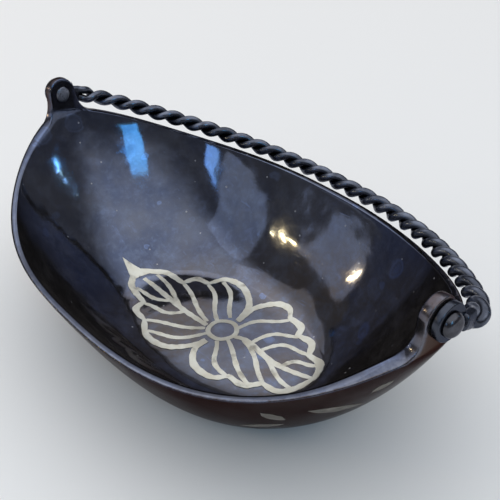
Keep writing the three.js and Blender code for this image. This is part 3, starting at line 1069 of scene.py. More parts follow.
    def _dished(self, skin: Array) -> Array:
        """Softens the turn from the flat floor into the wall.

        Args:
            skin: Rows of points from the middle of the floor up.

        Returns:
            The rows with their heights evened out near the turn.
        """
        away = np.linalg.norm(skin[..., :2], axis=-1)
        start, end = self.dish_window
        even = np.linspace(start, end, round((end - start) / self.even_step) + 1)
        none, full = (self.rim_height * share for share in self.dish_fade)
        for column in range(skin.shape[1]):
            reach, height = away[:, column], skin[:, column, 2]
            low = height < self.rim_height * self.dish_known
            known = np.interp(np.abs(even), reach[low], height[low])
            known += np.clip(np.abs(even) - reach[low][-1], 0, None) * self.dish_slope
            soft = evened(known, self.even_step, self.floor_blend)
            lift = np.interp(reach, even, soft) - height
            skin[:, column, 2] += lift * fade(height, none, full)
        return skin

    def build(self) -> None:
        """Models the shell, rounds its edges and drills its lugs."""
        angles, tops = self.columns()
        outer = self.skin(angles, tops, 0.0, 0.0)
        inner = self.skin(angles, tops, self.wall, self.floor)
        self.shell = grid_piece("bowl_shell", np.concatenate([outer, inner[::-1]]))
        weld(self.shell)
        round_sharp_edges(self.shell, self.edge_radius, self.edge_segments)
        reach = self.rim_half_length + self.drill_overrun
        drill = rod("drill", self.hole_radius, (-reach, reach))
        move(drill, Matrix.Translation((0, 0, self.pivot_height * MM)))
        combine(self.shell, drill, "DIFFERENCE")
        self._mark(angles, tops)

    def _mark(self, angles: Array, tops: Array) -> None:
        """Stores where the shell faces inwards and where its rim is worn, with the wear raised on the near
        side as a painted highlight.

        Args:
            angles: Plan angle of each column.
            tops: Height of each column's top.
        """
        points = points_of(self.shell)
        normals = np.zeros(len(points) * 3, np.float32)
        self.shell.data.vertices.foreach_get("normal", normals)
        middle = points * [self.spine_share, 0, 0] + [0, 0, self.pivot_height]
        facing = (normals.reshape(-1, 3) * (middle - points)).sum(1)
        edge = self.rim(angles, self.edge_inset)
        edge[:, 2] = tops
        edge[:, 0] = self._held(edge[:, 0], self.nose_face)
        gap, _ = nearest(points, edge)
        set_mask(self.shell, Mask.INSIDE, fade(facing, -self.facing_blend, self.facing_blend))
        # Real edge wear everywhere, raised on the near side, towards +X and -Y, as a painted highlight.
        side = points[:, :2] / [self.rim_half_length, self.rim_half_width] @ np.array(self.near_highlight_side)
        wear_and_near_highlight = self.wear_least + (1 - self.wear_least) * fade(side, 0.1, 0.8)
        set_mask(self.shell, Mask.WEAR, fade(gap, self.wear_start, self.wear_full) * wear_and_near_highlight)

    def dress(self, finish: BlackAlloyFinish) -> None:
        """Sets the shell on the frame in its finish."""
        mount(self.shell, Body.BOWL, "bowl_body", finish.make())


@dataclass(frozen=True)
class FlowerLeaf:
    """One veined leaf of the floor's flower, drawn as seen from above."""

    name: str
    wedge: Points
    border: list[Points]
    midrib: Points
    veins: list[Points]


LEFT_LEAF = FlowerLeaf(
    name="left_leaf",
    wedge=[[-42.4, -4.4], [-34.8, -6.4], [-35.2, -3.4], [-34.8, 0.3]],
    border=[
        [[-37.0, -1.6], [-35.0, 1.0], [-31.3, 4.5], [-24.2, 5.2]],
        [[-24.5, 5], [-23, 9.4], [-18.6, 10.7]],
        [[-18.8, 10.4], [-16.3, 15.6], [-9.5, 16.9], [-2, 13], [1, 6.1]],
        [[-36.4, -4.6], [-35.2, -6.0], [-32.3, -8], [-24.8, -8.9]],
        [[-25, -8.5], [-23.4, -12.6], [-17.9, -13.4]],
        [[-18.2, -13.2], [-11.4, -16.8], [-4.3, -15.5], [0.2, -10.2], [1.3, -5.6]],
    ],
    midrib=[[-3.6, -1.5], [-14.7, -2.3], [-28.9, -2.1], [-34, -2.6]],
    veins=[
        [[-33, 1.6], [-22.3, 0.3], [-14.7, -2.3]],
        [[-24.2, 5.2], [-14.8, 2.5], [-4.8, -0.4]],
        [[-18.2, 10.3], [-12.4, 8], [-2.8, 1.8]],
        [[-16, 14.4], [-9, 11.5], [-1.4, 5.4]],
        [[-31.8, -7], [-25.8, -6], [-19.7, -2.4]],
        [[-24.2, -9], [-17.2, -7.1], [-12.8, -2.5]],
        [[-17.6, -13], [-10.2, -8.5], [-2.9, -2.6]],
        [[-13.2, -15.4], [-5.8, -11.6], [-0.8, -3.5]],
    ],
)

RIGHT_LEAF = FlowerLeaf(
    name="right_leaf",
    wedge=[[33.2, 6.6], [32, 10.7], [29.8, 11], [30.4, 8.8]],
    border=[
        [[1.5, 6], [0.1, 13], [3.2, 18.6], [8, 19.8], [11, 17.4]],
        [[10.8, 17.6], [16, 17], [17.7, 13.9]],
        [[17.5, 14.3], [22.9, 14.5], [25.9, 10.5]],
        [[25.5, 10.9], [30.8, 10.2], [33.3, 5.9]],
        [[1.7, -5.6], [2.4, -10.3], [7.3, -14], [13.9, -13.5], [17.1, -9.6]],
        [[16.8, -9.8], [22, -9.2], [25.2, -4.8]],
        [[24.9, -5.1], [29.9, -4.2], [32.5, 0.1], [33.3, 6.1]],
    ],
    midrib=[[5.3, 1], [10, 2.7], [21.2, 2.2], [32.8, 5.3]],
    veins=[
        [[3.6, 4.1], [5.7, 10.6], [11.4, 17.2]],
        [[10.9, 3.2], [13, 10.5], [18.5, 14.3]],
        [[15.1, 3.2], [18.5, 9.3], [25.6, 11.1]],
        [[23.5, 3], [25.5, 7.1], [30.8, 9.8]],
        [[3.7, -3.5], [9.3, -8.8], [16.6, -10.2]],
        [[5.5, -1], [13, -4.8], [23.1, -8.1]],
        [[8.8, 2], [16.9, -0.7], [25.3, -5]],
        [[18, 2], [23.6, -0.1], [31.8, -1]],
    ],
)


def smooth_line(points: Points, steps: int) -> Array:
    """A smooth line through points, evenly spaced.

    Args:
        points: Two or more points (x, y).
        steps: Number of spans of the result.

    Returns:
        The line's points.
    """
    ends = np.array(points, float)
    padded = np.concatenate([[2 * ends[0] - ends[1]], ends, [2 * ends[-1] - ends[-2]]])
    share = np.linspace(0, 1, SPAN_POINTS, endpoint=False)[:, None]
    spans = []
    for a, b, c, d in zip(padded, padded[1:], padded[2:], padded[3:]):
        bend = 2 * a - 5 * b + 4 * c - d
        turn = 3 * b - a - 3 * c + d
        spans.append(b + 0.5 * ((c - a) * share + bend * share**2 + turn * share**3))
    line = np.concatenate([*spans, ends[-1:]])
    length = np.concatenate([[0], np.cumsum(np.linalg.norm(np.diff(line, axis=0), axis=1))])
    even = np.linspace(0, length[-1], steps + 1)
    return np.stack([np.interp(even, length, line[:, axis]) for axis in (0, 1)], -1)


@dataclass
class FlowerInlay:
    """The floor's flower: strips of silver let into the metal, each cut by hand."""

    body: BowlBody
    ring_centre: tuple[float, float] = (1.2, 0.5)
    ring_radius: float = 4.7
    ring_width: float = 1.4
    border_width: float = 2.0
    midrib_width: float = 1.7
    vein_width: float = 1.4
    border_swell: float = 0.34
    midrib_swell: float = 0.25
    vein_swell: float = 0.2
    vein_wave: float = 0.4
    thickness: float = 0.55
    proud: float = 0.045
    lap: float = 0.012
    step: float = 0.45
    cells_across: int = 4
    ring_cells: int = 96
    wedge_cells: int = 16
    above: float = 29.0
    dull_full: float = 5.5
    dull_end: float = 14.0
    dull_share: float = 0.5
    pieces: list[tuple[bpy.types.Object, str]] = field(default_factory=list, init=False)

    def _let_in(self, piece: bpy.types.Object, layer: int) -> None:
        """Lays a flat piece on the floor and gives it its thickness.

        Args:
            piece: A flat piece above the floor.
            layer: Its layer, so that laps don't share a surface.
        """
        apply_modifier(
            piece,
            "SHRINKWRAP",
            target=self.body.shell,
            wrap_method="PROJECT",
            use_project_z=True,
            use_negative_direction=True,
            use_positive_direction=False,
            offset=(self.proud + self.lap * layer) * MM,
            wrap_mode="ABOVE_SURFACE",
        )
        apply_modifier(piece, "SOLIDIFY", thickness=(self.thickness + self.lap * layer) * MM, offset=-1.0)
        weld(piece)

    def _strip(
        self, name: str, points: Points, width: float, swell: float, layer: int, wave: float = 0.0
    ) -> bpy.types.Object:
        """A strip of silver along a line.

        Args:
            name: Name of the new object.
            points: The line's points, seen from above.
            width: Its width in the middle.
            swell: Share of its width that it loses towards its ends.
            layer: Its layer.
            wave: How far it swings to either side of the line.

        Returns:
            The strip, let into the floor.
        """
        length = np.linalg.norm(np.diff(np.array(points), axis=0), axis=1).sum()
        steps = max(6, round(length / self.step))
        line = smooth_line(points, steps)
        along = np.gradient(line, axis=0)
        side = np.stack([-along[:, 1], along[:, 0]], -1) / np.linalg.norm(along, axis=1)[:, None]
        share = np.linspace(0, 1, steps + 1)
        line = line + side * (wave * np.sin(2 * math.pi * share))[:, None]
        uneven = 0.07 * np.sin(line[:, 0] * 1.9 + line[:, 1] * 1.3) + 0.05 * np.sin(line[:, 1] * 3.1 + layer)
        half = width / 2 * (1 - swell * np.abs(2 * share - 1) ** 2.2 + uneven)
        across = np.linspace(1, -1, self.cells_across + 1)[:, None, None]
        flat = line[None] + across * (side * half[:, None])[None]
        height = np.full((*flat.shape[:2], 1), self.above)
        piece = grid_piece(name, np.concatenate([flat, height], -1)[::-1])
        self._let_in(piece, layer)
        return piece

    def _ring(self, name: str) -> bpy.types.Object:
        """Models the ring that the leaves grow from, a little out of round.

        Args:
            name: Name of the new object.

        Returns:
            The ring, let into the floor.
        """
        turn = np.linspace(0, 2 * math.pi, self.ring_cells + 1)
        inner = self.ring_radius - self.ring_width
        rows = []
        for radius in np.linspace(self.ring_radius, inner, self.cells_across + 1):
            uneven = radius + 0.12 * np.sin(2 * turn + 0.6) + 0.06 * np.sin(5 * turn)
            x = self.ring_centre[0] + uneven * np.cos(turn)
            y = self.ring_centre[1] + uneven * np.sin(turn)
            rows.append(np.stack([x, y, np.full_like(x, self.above)], -1))
        piece = grid_piece(name, np.array(rows)[::-1])
        weld(piece)
        self._face_up(piece)
        self._let_in(piece, Layer.RING)
        return piece

    @staticmethod
    def _face_up(piece: bpy.types.Object) -> None:
        """Turns a flat piece's faces upwards."""
        if piece.data.polygons[0].normal.z < 0:
            piece.data.flip_normals()

    def _wedge(self, name: str, corners: Points) -> bpy.types.Object:
        """The solid tip of a leaf.

        Args:
            name: Name of the new object.
            corners: Its four corners.

        Returns:
            The tip, let into the floor.
        """
        a, b, c, d = np.array(corners)
        share = np.linspace(0, 1, self.wedge_cells + 1)
        near = a + (b - a) * share[:, None]
        far = d + (c - d) * share[:, None]
        flat = near[None] + (far - near)[None] * share[:, None, None]
        height = np.full((*flat.shape[:2], 1), self.above)
        piece = grid_piece(name, np.concatenate([flat, height], -1))
        self._face_up(piece)
        self._let_in(piece, Layer.WEDGE)
        return piece

    def _leaf(self, leaf: FlowerLeaf) -> None:
        """Models one leaf's border, midrib and veins.

        Args:
            leaf: The leaf's drawing.
        """
        name = f"inlay_{leaf.name}_border"
        border = self._wedge(name, leaf.wedge)
        for i, points in enumerate(leaf.border):
            layer = Layer.BORDER + i
            strip = self._strip("strip", points, self.border_width, self.border_swell, layer)
            combine(border, strip, "UNION")
        self.pieces.append((border, f"{leaf.name}_border"))
        name = f"inlay_{leaf.name}_midrib"
        rib = self._strip(name, leaf.midrib, self.midrib_width, self.midrib_swell, Layer.MIDRIB)
        self.pieces.append((rib, f"{leaf.name}_midrib"))
        for i, points in enumerate(leaf.veins):
            node = f"{leaf.name}_vein_{i + 1}"
            width, swell, wave = self.vein_width, self.vein_swell, self.vein_wave
            vein = self._strip(f"inlay_{node}", points, width, swell, Layer.VEIN, wave)
            self.pieces.append((vein, node))

    def build(self) -> None:
        """Models the ring and both leaves."""
        self.pieces.append((self._ring("inlay_flower_ring"), "flower_ring"))
        for leaf in (LEFT_LEAF, RIGHT_LEAF):
            self._leaf(leaf)

    def dress(self, material: bpy.types.Material) -> None:
        """Sets every strip on the frame in silver, duller towards the ring.

        Args:
            material: The silver.
        """
        for piece, node in self.pieces:
            away = np.linalg.norm(points_of(piece)[:, :2] - self.ring_centre, axis=1)
            set_mask(piece, Mask.TARNISH, self.dull_share * fade(away, self.dull_end, self.dull_full))
            mount(piece, Body.BOWL, node, material)


@dataclass(frozen=True)
class WallLeaf:
    """One leaf of a spray: its angle in the rim's plan, its climb up the wall, its size and its turn."""

    angle: float
    climb: float
    length: float
    width: float
    tilt: float


@dataclass
class WallLeaves:
    """Pointed silver leaves let into the outer wall, in a spray on each long side."""

    body: BowlBody
    spray: tuple[WallLeaf, ...] = (
        WallLeaf(-15, 0.72, 5.6, 3.4, 29),
        WallLeaf(-24, 0.618, 14.4, 4.4, -38),
        WallLeaf(-39.5, 0.66, 8.2, 3.6, -68),
        WallLeaf(-40.5, 0.497, 12, 3.8, 16),
        WallLeaf(-140.5, 0.66, 8.2, 3.6, 68),
        WallLeaf(-156, 0.618, 14.4, 4.4, 38),
        WallLeaf(-165, 0.72, 5.6, 3.4, -29),
    )
    proud: float = 0.04
    thickness: float = 0.55
    probe: float = 0.01
    cells_long: int = 36
    cells_across: int = 10
    pieces: list[tuple[bpy.types.Object, str]] = field(default_factory=list, init=False)

    def _blank(self) -> bpy.types.Object:
        """Cuts a flat leaf, which is copied to size for every place.

        Returns:
            A leaf 2 mm long and wide.
        """
        along = np.linspace(-1, 1, self.cells_long + 1)
        half = (1 - along**2) * (1 + 0.06 * np.sin(9 * along))
        across = np.linspace(-1, 1, self.cells_across + 1)[:, None]
        x = np.broadcast_to(along, (self.cells_across + 1, along.size))
        blank = grid_piece("leaf_blank", np.stack([x, across * half, np.ones_like(x)], -1))
        weld(blank)
        return blank

    def _frame(self, angle: float, climb: float, tilt: float) -> Matrix:
        """The place of a leaf on the wall.

        Args:
            angle: Its angle in the rim's plan, in degrees.
            climb: How far up the wall it is.
            tilt: Its turn on the wall, in degrees.

        Returns:
            The transform of the flat leaf.
        """
        turns = np.radians(angle) + np.array([0, self.probe, -self.probe, 0, 0])
        climbs = climb + np.array([0, 0, 0, self.probe, -self.probe])
        at, ahead, behind, above, below = (
            Vector(point) for point in self.body.wall_points(turns, climbs, 0.0, 0.0)
        )
        along = (ahead - behind).normalized()
        out = along.cross(above - below).normalized()
        axes = Matrix((along, out.cross(along), out)).transposed().to_4x4()
        return Matrix.Translation(at * MM) @ axes @ Matrix.Rotation(math.radians(tilt), 4, "Z")

    def build(self) -> None:
        """Models the leaf once and lets a copy into each place on the wall."""
        blank = self._blank()
        for number, (turn, leaf) in enumerate(product((180, 0), self.spray), 1):
            node = f"wall_leaf_{number:02d}"
            piece = copy_piece(blank, f"inlay_{node}")
            size = Matrix.Diagonal((leaf.length / 2, leaf.width / 2, 1, 1))
            move(piece, self._frame(leaf.angle + turn, leaf.climb, leaf.tilt) @ size)
            apply_modifier(
                piece,
                "SHRINKWRAP",
                target=self.body.shell,
                wrap_method="NEAREST_SURFACEPOINT",
                wrap_mode="ABOVE_SURFACE",
                offset=self.proud * MM,
            )
            apply_modifier(piece, "SOLIDIFY", thickness=self.thickness * MM, offset=-1.0)
            weld(piece)
            set_mask(piece, Mask.TARNISH, np.ones(len(piece.data.vertices)))
            self.pieces.append((piece, node))
        bpy.data.objects.remove(blank)

    def dress(self, material: bpy.types.Material) -> None:
        """Sets every leaf on the frame in silver."""
        for piece, node in self.pieces:
            mount(piece, Body.BOWL, node, material)


@dataclass
class Bail:
    """The swinging handle: two wires twisted together, ending on a drilled eye at each nose."""

    body: BowlBody
    wire_gap: float = 0.3
    wire_radius: float = 1.2
    wire_offset: float = 1.17
    eye_gap: float = 0.06
    eye_diameter: float = 8.5
    eye_shift: float = 0.45
    eye_thickness: float = 1.8
    eye_hole_radius: float = 1.8
    bar_stand_off: float = 2.9
    neck_reach: float = 8.0
    neck_splay: float = 3.3
    neck_lap: float = 0.8
    arch_overrun: float = 3.3
    arch_foot: float = 6.9
    arch_height: float = 50.6
    arch_power: float = 2.27
    corner_inset: float = 4.2
    corner_drop: float = 5.5
    opening_length: float = 7.0
    wire_opening: float = 0.4
    twist_turns: float = 15.0
    twist_ease: float = 0.012
    rest_tilt: float = 23.4
    tongue_start: float = 3.5
    tongue_lap: float = 0.1
    tongue_half: float = 1.85
    tongue_swell: float = 0.08
    tongue_blunt: float = 14.0
    tongue_round: float = 0.7
    tongue_rows: int = 24
    tongue_sides: int = 48
    eye_edge: float = 0.4
    eye_edge_segments: int = 4
    eye_sides: int = 96
    drill_overrun: tuple[float, float] = (1.0, 3.0)
    groove_depth: float = 0.3
    # Share of the crest mask that the eyes get, so they take less of the painted crest highlight.
    eye_crest: float = 0.6
    crown_points: int = 400
    corner_points: int = 80
    wire_steps: int = 900
    wire_sides: int = 20
    strands: list[tuple[bpy.types.Object, str]] = field(default_factory=list, init=False)
    eyes: list[tuple[bpy.types.Object, str]] = field(default_factory=list, init=False)

    @property
    def eye_inner(self) -> float:
        """The x of an eye's inner face."""
        return self.body.nose_face + self.eye_gap

    @property
    def eye_outer(self) -> float:
        """The x of an eye's outer face."""
        return self.eye_inner + self.eye_thickness

    @property
    def bar_x(self) -> float:
        """Where the pair's line would meet the pivot axis."""
        return self.body.nose_face + self.bar_stand_off

    @property
    def shoulder(self) -> float:
        """The x where the right corner starts."""
        return self.bar_x - self.neck_splay - self.corner_inset

    @property
    def bend(self) -> Array:
        """Where the arch and the right neck would meet."""
        reach, fall = self._arch(np.array(self.shoulder))
        return np.array([self.shoulder + self.corner_inset, reach - fall * self.corner_inset])

    @property
    def place(self) -> Matrix:
        """The bail's own plane, folded down to its rest."""
        lift = Matrix.Translation((0, 0, self.body.pivot_height * MM))
        return lift @ Matrix.Rotation(-math.radians(self.rest_tilt), 4, "X")

    def _arch(self, x: Array) -> tuple[Array, Array]:
        """The arch of the bail.

        Args:
            x: Places across the bowl.

        Returns:
            Its reach from the pivot axis there, and how steeply it falls.
        """
        span, rise = self.bar_x + self.arch_overrun, self.arch_height - self.arch_foot
        share = np.abs(x / span)
        return (
            self.arch_foot + rise * (1 - share**self.arch_power),
            rise * self.arch_power * share ** (self.arch_power - 1) / span,
        )

    def neck_point(self, distance: Any) -> Array:
        """Points of the right neck's middle line.

        Args:
            distance: One distance from the pivot axis along the neck, or a column of them.

        Returns:
            One point (x, reach) per distance.
        """
        foot = np.array([self.bar_x, 0.0])
        lean = self.bend - foot
        return foot + lean / np.linalg.norm(lean) * distance

    def centre_line(self) -> tuple[Array, Array]:
        """The pair's middle line in the bail's plane.

        Returns:
            Evenly spaced points (x, reach) and their distances from the start.
        """
        x = np.linspace(0, self.shoulder, self.crown_points)
        crown = np.stack([x, self._arch(x)[0]], -1)
        top = np.linalg.norm(self.bend - self.neck_point(0))
        drop = self.neck_point(top - self.corner_drop)
        corner = round_corner(crown[-1], self.bend, drop, self.corner_points)
        foot = self.neck_point(self.neck_reach - self.neck_lap)
        right = np.concatenate([crown, corner[1:], foot[None]])
        line = np.concatenate([right[::-1] * [-1, 1], right[1:]])
        length = np.concatenate([[0], np.cumsum(np.linalg.norm(np.diff(line, axis=0), axis=1))])
        even = np.linspace(0, length[-1], self.wire_steps + 1)
        return np.stack([np.interp(even, length, line[:, axis]) for axis in (0, 1)], -1), even

    def _twist(self, share: Array) -> Array:
        """Spreads the twist along the pair, slower at both ends.

        Args:
            share: Shares of the twisted length.

        Returns:
            The share of the twist done at each.
        """
        ease, full = self.twist_ease, 1 - self.twist_ease
        t = np.clip(share, 0, 1)
        middle = (t - ease / 2) / full
        start = t**2 / (2 * ease * full)
        end = 1 - (1 - t) ** 2 / (2 * ease * full)
        return np.where(t < ease, start, np.where(t > full, end, middle))

    def strand_line(self, start_angle: float) -> Array:
        """One wire's middle line in the bail's own frame.

        Args:
            start_angle: Where on the pair it starts, in degrees.

        Returns:
            Its points.
        """
        line, run = self.centre_line()
        hidden = self.neck_lap + self.wire_gap
        length = run[-1] - 2 * hidden
        from_start = run - hidden
        along = np.gradient(line, axis=0)
        along /= np.linalg.norm(along, axis=1)[:, None]
        turned = self._twist(from_start / length)
        angle = math.radians(start_angle) - turned * self.twist_turns * 2 * math.pi
        from_end = np.clip(np.minimum(from_start, length - from_start), 0, self.opening_length)
        bow = np.sin(from_end / self.opening_length * math.pi) ** 2
        offset = self.wire_offset + self.wire_opening * bow
        in_plane = offset * np.cos(angle)
        x = line[:, 0] - along[:, 1] * in_plane
        return np.stack([x, line[:, 1] + along[:, 0] * in_plane, offset * np.sin(angle)], -1)

    def _tube(self, name: str, line: Array) -> bpy.types.Object:
        """A round wire along a line.

        Args:
            name: Name of the new object.
            line: Its middle line, in the bail's own frame.

        Returns:
            The wire, closed at both ends.
        """
        along = np.gradient(line, axis=0)
        along /= np.linalg.norm(along, axis=1)[:, None]
        side = np.cross(along[0], [1.0, 0.0, 0.0])
        sides = []
        for direction in along:
            side = side - direction * (side @ direction)
            side /= np.linalg.norm(side)
            sides.append(side)
        across = np.array(sides)
        other = np.cross(along, across)
        turn = np.linspace(0, 2 * math.pi, self.wire_sides + 1)
        ring = np.cos(turn)[None, :, None] * across[:, None] + np.sin(turn)[None, :, None] * other[:, None]
        skin = line[:, None] + self.wire_radius * ring
        caps = [np.repeat(line[i][None, None], turn.size, axis=1) for i in (0, -1)]
        wire = grid_piece(name, np.concatenate([caps[0], skin, caps[1]]))
        weld(wire)
        return wire

    def _mark(self, piece: bpy.types.Object, share: float) -> None:
        """Stores how far each point of a wire or an eye stands out from the pair's middle, which the finish
        turns into painted shade in the hollows and a painted highlight on the crests.

        Args:
            piece: A piece in the bail's own frame.
            share: What the farthest points get.
        """
        line, _ = self.centre_line()
        pair = np.concatenate([line, np.zeros((len(line), 1))], 1)
        gap, _ = nearest(points_of(piece), pair)
        crest = self.wire_offset + self.wire_radius
        set_mask(piece, Mask.CREST, share * fade(gap, self.groove_depth, crest))

    def _tongue(self) -> bpy.types.Object:
        """Models the forged neck of the right eye, which widens to take both wires.

        Returns:
            The neck, in the bail's own frame.
        """
        start, end = self.tongue_start, self.neck_reach + self.tongue_lap
        share = np.linspace(0, 1, self.tongue_rows + 1)
        middle = self.neck_point((start + (end - start) * share)[:, None])
        lean = (middle[-1] - middle[0]) / np.linalg.norm(middle[-1] - middle[0])
        blunt = np.clip(1 - np.abs(2 * share - 1) ** self.tongue_blunt, 0, 1) ** 0.5
        widening = self.wire_offset + self.wire_radius - self.tongue_half
        height = (self.tongue_half + widening * fade(share, 0.1, 1.0)) * blunt
        depth = (self.wire_radius + self.tongue_swell * share) * blunt
        turn = np.linspace(0, 2 * math.pi, self.tongue_sides + 1)
        round_x = np.sign(np.cos(turn)) * np.abs(np.cos(turn)) ** self.tongue_round
        round_y = np.sign(np.sin(turn)) * np.abs(np.sin(turn)) ** self.tongue_round
        out = depth[:, None] * round_x
        x, reach = middle[:, None, 0] + out * lean[1], middle[:, None, 1] - out * lean[0]
        tongue = grid_piece("tongue", np.stack([x, reach, height[:, None] * round_y], -1))
        weld(tongue)
        return tongue

    def _eye(self) -> bpy.types.Object:
        """Models the right eye: a drilled disc with the neck that takes the wires.

        Returns:
            The eye, in the bail's own frame.
        """
        faces = (self.eye_inner, self.eye_outer)
        eye = rod("handle_eye_right", self.eye_diameter / 2, faces, self.eye_sides)
        move(eye, Matrix.Translation((0, self.eye_shift * MM, 0)))
        round_sharp_edges(eye, self.eye_edge, self.eye_edge_segments)
        combine(eye, self._tongue(), "UNION")
        inside, outside = self.drill_overrun
        drill = rod("drill", self.eye_hole_radius, (faces[0] - inside, faces[1] + outside))
        combine(eye, drill, "DIFFERENCE")
        return eye

    def build(self) -> None:
        """Models the wires and the eyes, and folds them down to rest."""
        for letter, start_angle in (("a", 90.0), ("b", -90.0)):
            wire = self._tube(f"handle_strand_{letter}", self.strand_line(start_angle))
            self.strands.append((wire, f"handle_wire_{letter}"))
        right = self._eye()
        left = copy_piece(right, "handle_eye_left")
        move(left, Matrix.Diagonal((-1, 1, 1, 1)))
        self.eyes = [(left, "left_handle_eye"), (right, "right_handle_eye")]
        for pieces, share in ((self.strands, 1.0), (self.eyes, self.eye_crest)):
            for piece, _ in pieces:
                self._mark(piece, share)
                move(piece, self.place)

    def dress(self, finish: HandleFinish) -> None:
        """Sets the wires and eyes on the frame.

        Args:
            finish: Their finish.
        """
        material = finish.make()
        for piece, node in self.strands + self.eyes:
            mount(piece, Body.BAIL, node, material)


@dataclass
class Rivets:
    """The two rivets that the bail turns on, domed outside and peened over inside."""

    body: BowlBody
    bail: Bail
    shank_radius: float = 1.5
    dome_radius: float = 2.75
    dome_height: float = 2.0
    peened_radius: float = 2.35
    peened_height: float = 0.7
    gap: float = 0.06
    lip_radius: float = 0.2
    lip_inset: float = 0.15
    dome_fullness: float = 0.95
    beaten_waves: tuple[float, float] = (0.05, 0.02)
    beaten_blend: float = 0.05
    curve_points: int = 12
    lip_points: int = 4
    spin_steps: int = 56
    pieces: list[tuple[bpy.types.Object, str]] = field(default_factory=list, init=False)

    def _profile(self) -> Array:
        """Works out the rivet's outline.

        Returns:
            Points (x, radius) from its peened end to the top of its dome.
        """
        inner = self.body.nose_face - self.body.lug_thickness - self.gap
        base = self.bail.eye_outer + self.gap
        end, top = inner - self.peened_height, base + self.dome_height
        spread, wide, lift = self.peened_radius, self.dome_radius, base + self.lip_radius
        peened = round_corner([end, 0], [end, spread], [inner, spread], self.curve_points)
        lip = round_corner([base, wide - self.lip_inset], [base, wide], [lift, wide], self.lip_points)
        dome = round_corner([lift, wide], [top, wide * self.dome_fullness], [top, 0], self.curve_points)
        shank = np.array([[inner, self.shank_radius], [base, self.shank_radius]])
        return np.concatenate([peened, shank, lip, dome[1:]])

    def build(self) -> None:
        """Spins the profile into a rivet for each nose."""
        profile = self._profile()
        chain = np.stack([profile[:, 0], np.zeros(len(profile)), profile[:, 1]], -1)
        rivet = grid_piece("rivet_right", np.stack([chain, chain]))
        weld(rivet)
        bpy.ops.object.mode_set(mode="EDIT")
        bpy.ops.mesh.select_all(action="SELECT")
        bpy.ops.mesh.spin(steps=self.spin_steps, angle=2 * math.pi, center=(0, 0, 0), axis=(1, 0, 0))
        bpy.ops.object.mode_set(mode="OBJECT")
        weld(rivet)
        points = points_of(rivet)
        along, turn = points[:, 0], np.arctan2(points[:, 1], points[:, 2])
        foot = profile[0, 0] + self.peened_height
        slow, quick = self.beaten_waves
        beaten = fade(along, foot + self.beaten_blend, foot)
        uneven = slow * np.sin(2 * turn + 1) + quick * np.sin(5 * turn)
        points[:, 1:] *= 1 + (beaten * uneven)[:, None]
        set_points(rivet, points)
        move(rivet, Matrix.Translation((0, 0, self.body.pivot_height * MM)))
        set_mask(rivet, Mask.WEAR, fade(along, profile[-1, 0] - self.dome_height, profile[-1, 0]))
        set_mask(rivet, Mask.TARNISH, fade(along, foot, profile[0, 0]))
        left = copy_piece(rivet, "rivet_left")
        move(left, Matrix.Diagonal((-1, 1, 1, 1)))
        self.pieces = [(left, "left_rivet"), (rivet, "right_rivet")]

    def dress(self, finish: RivetFinish) -> None:
        """Sets both rivets on the frame.

        Args:
            finish: Their finish.
        """
        material = finish.make()
        for piece, node in self.pieces:
            mount(piece, Body.BOWL, node, material)


@dataclass(frozen=True)
class Softbox:
    """A lamp that the polished metal shows: its direction, size in metres and light."""

    name: str
    azimuth: float
    elevation: float
    width: float
    height: float
    colour: Colour
    watts: float


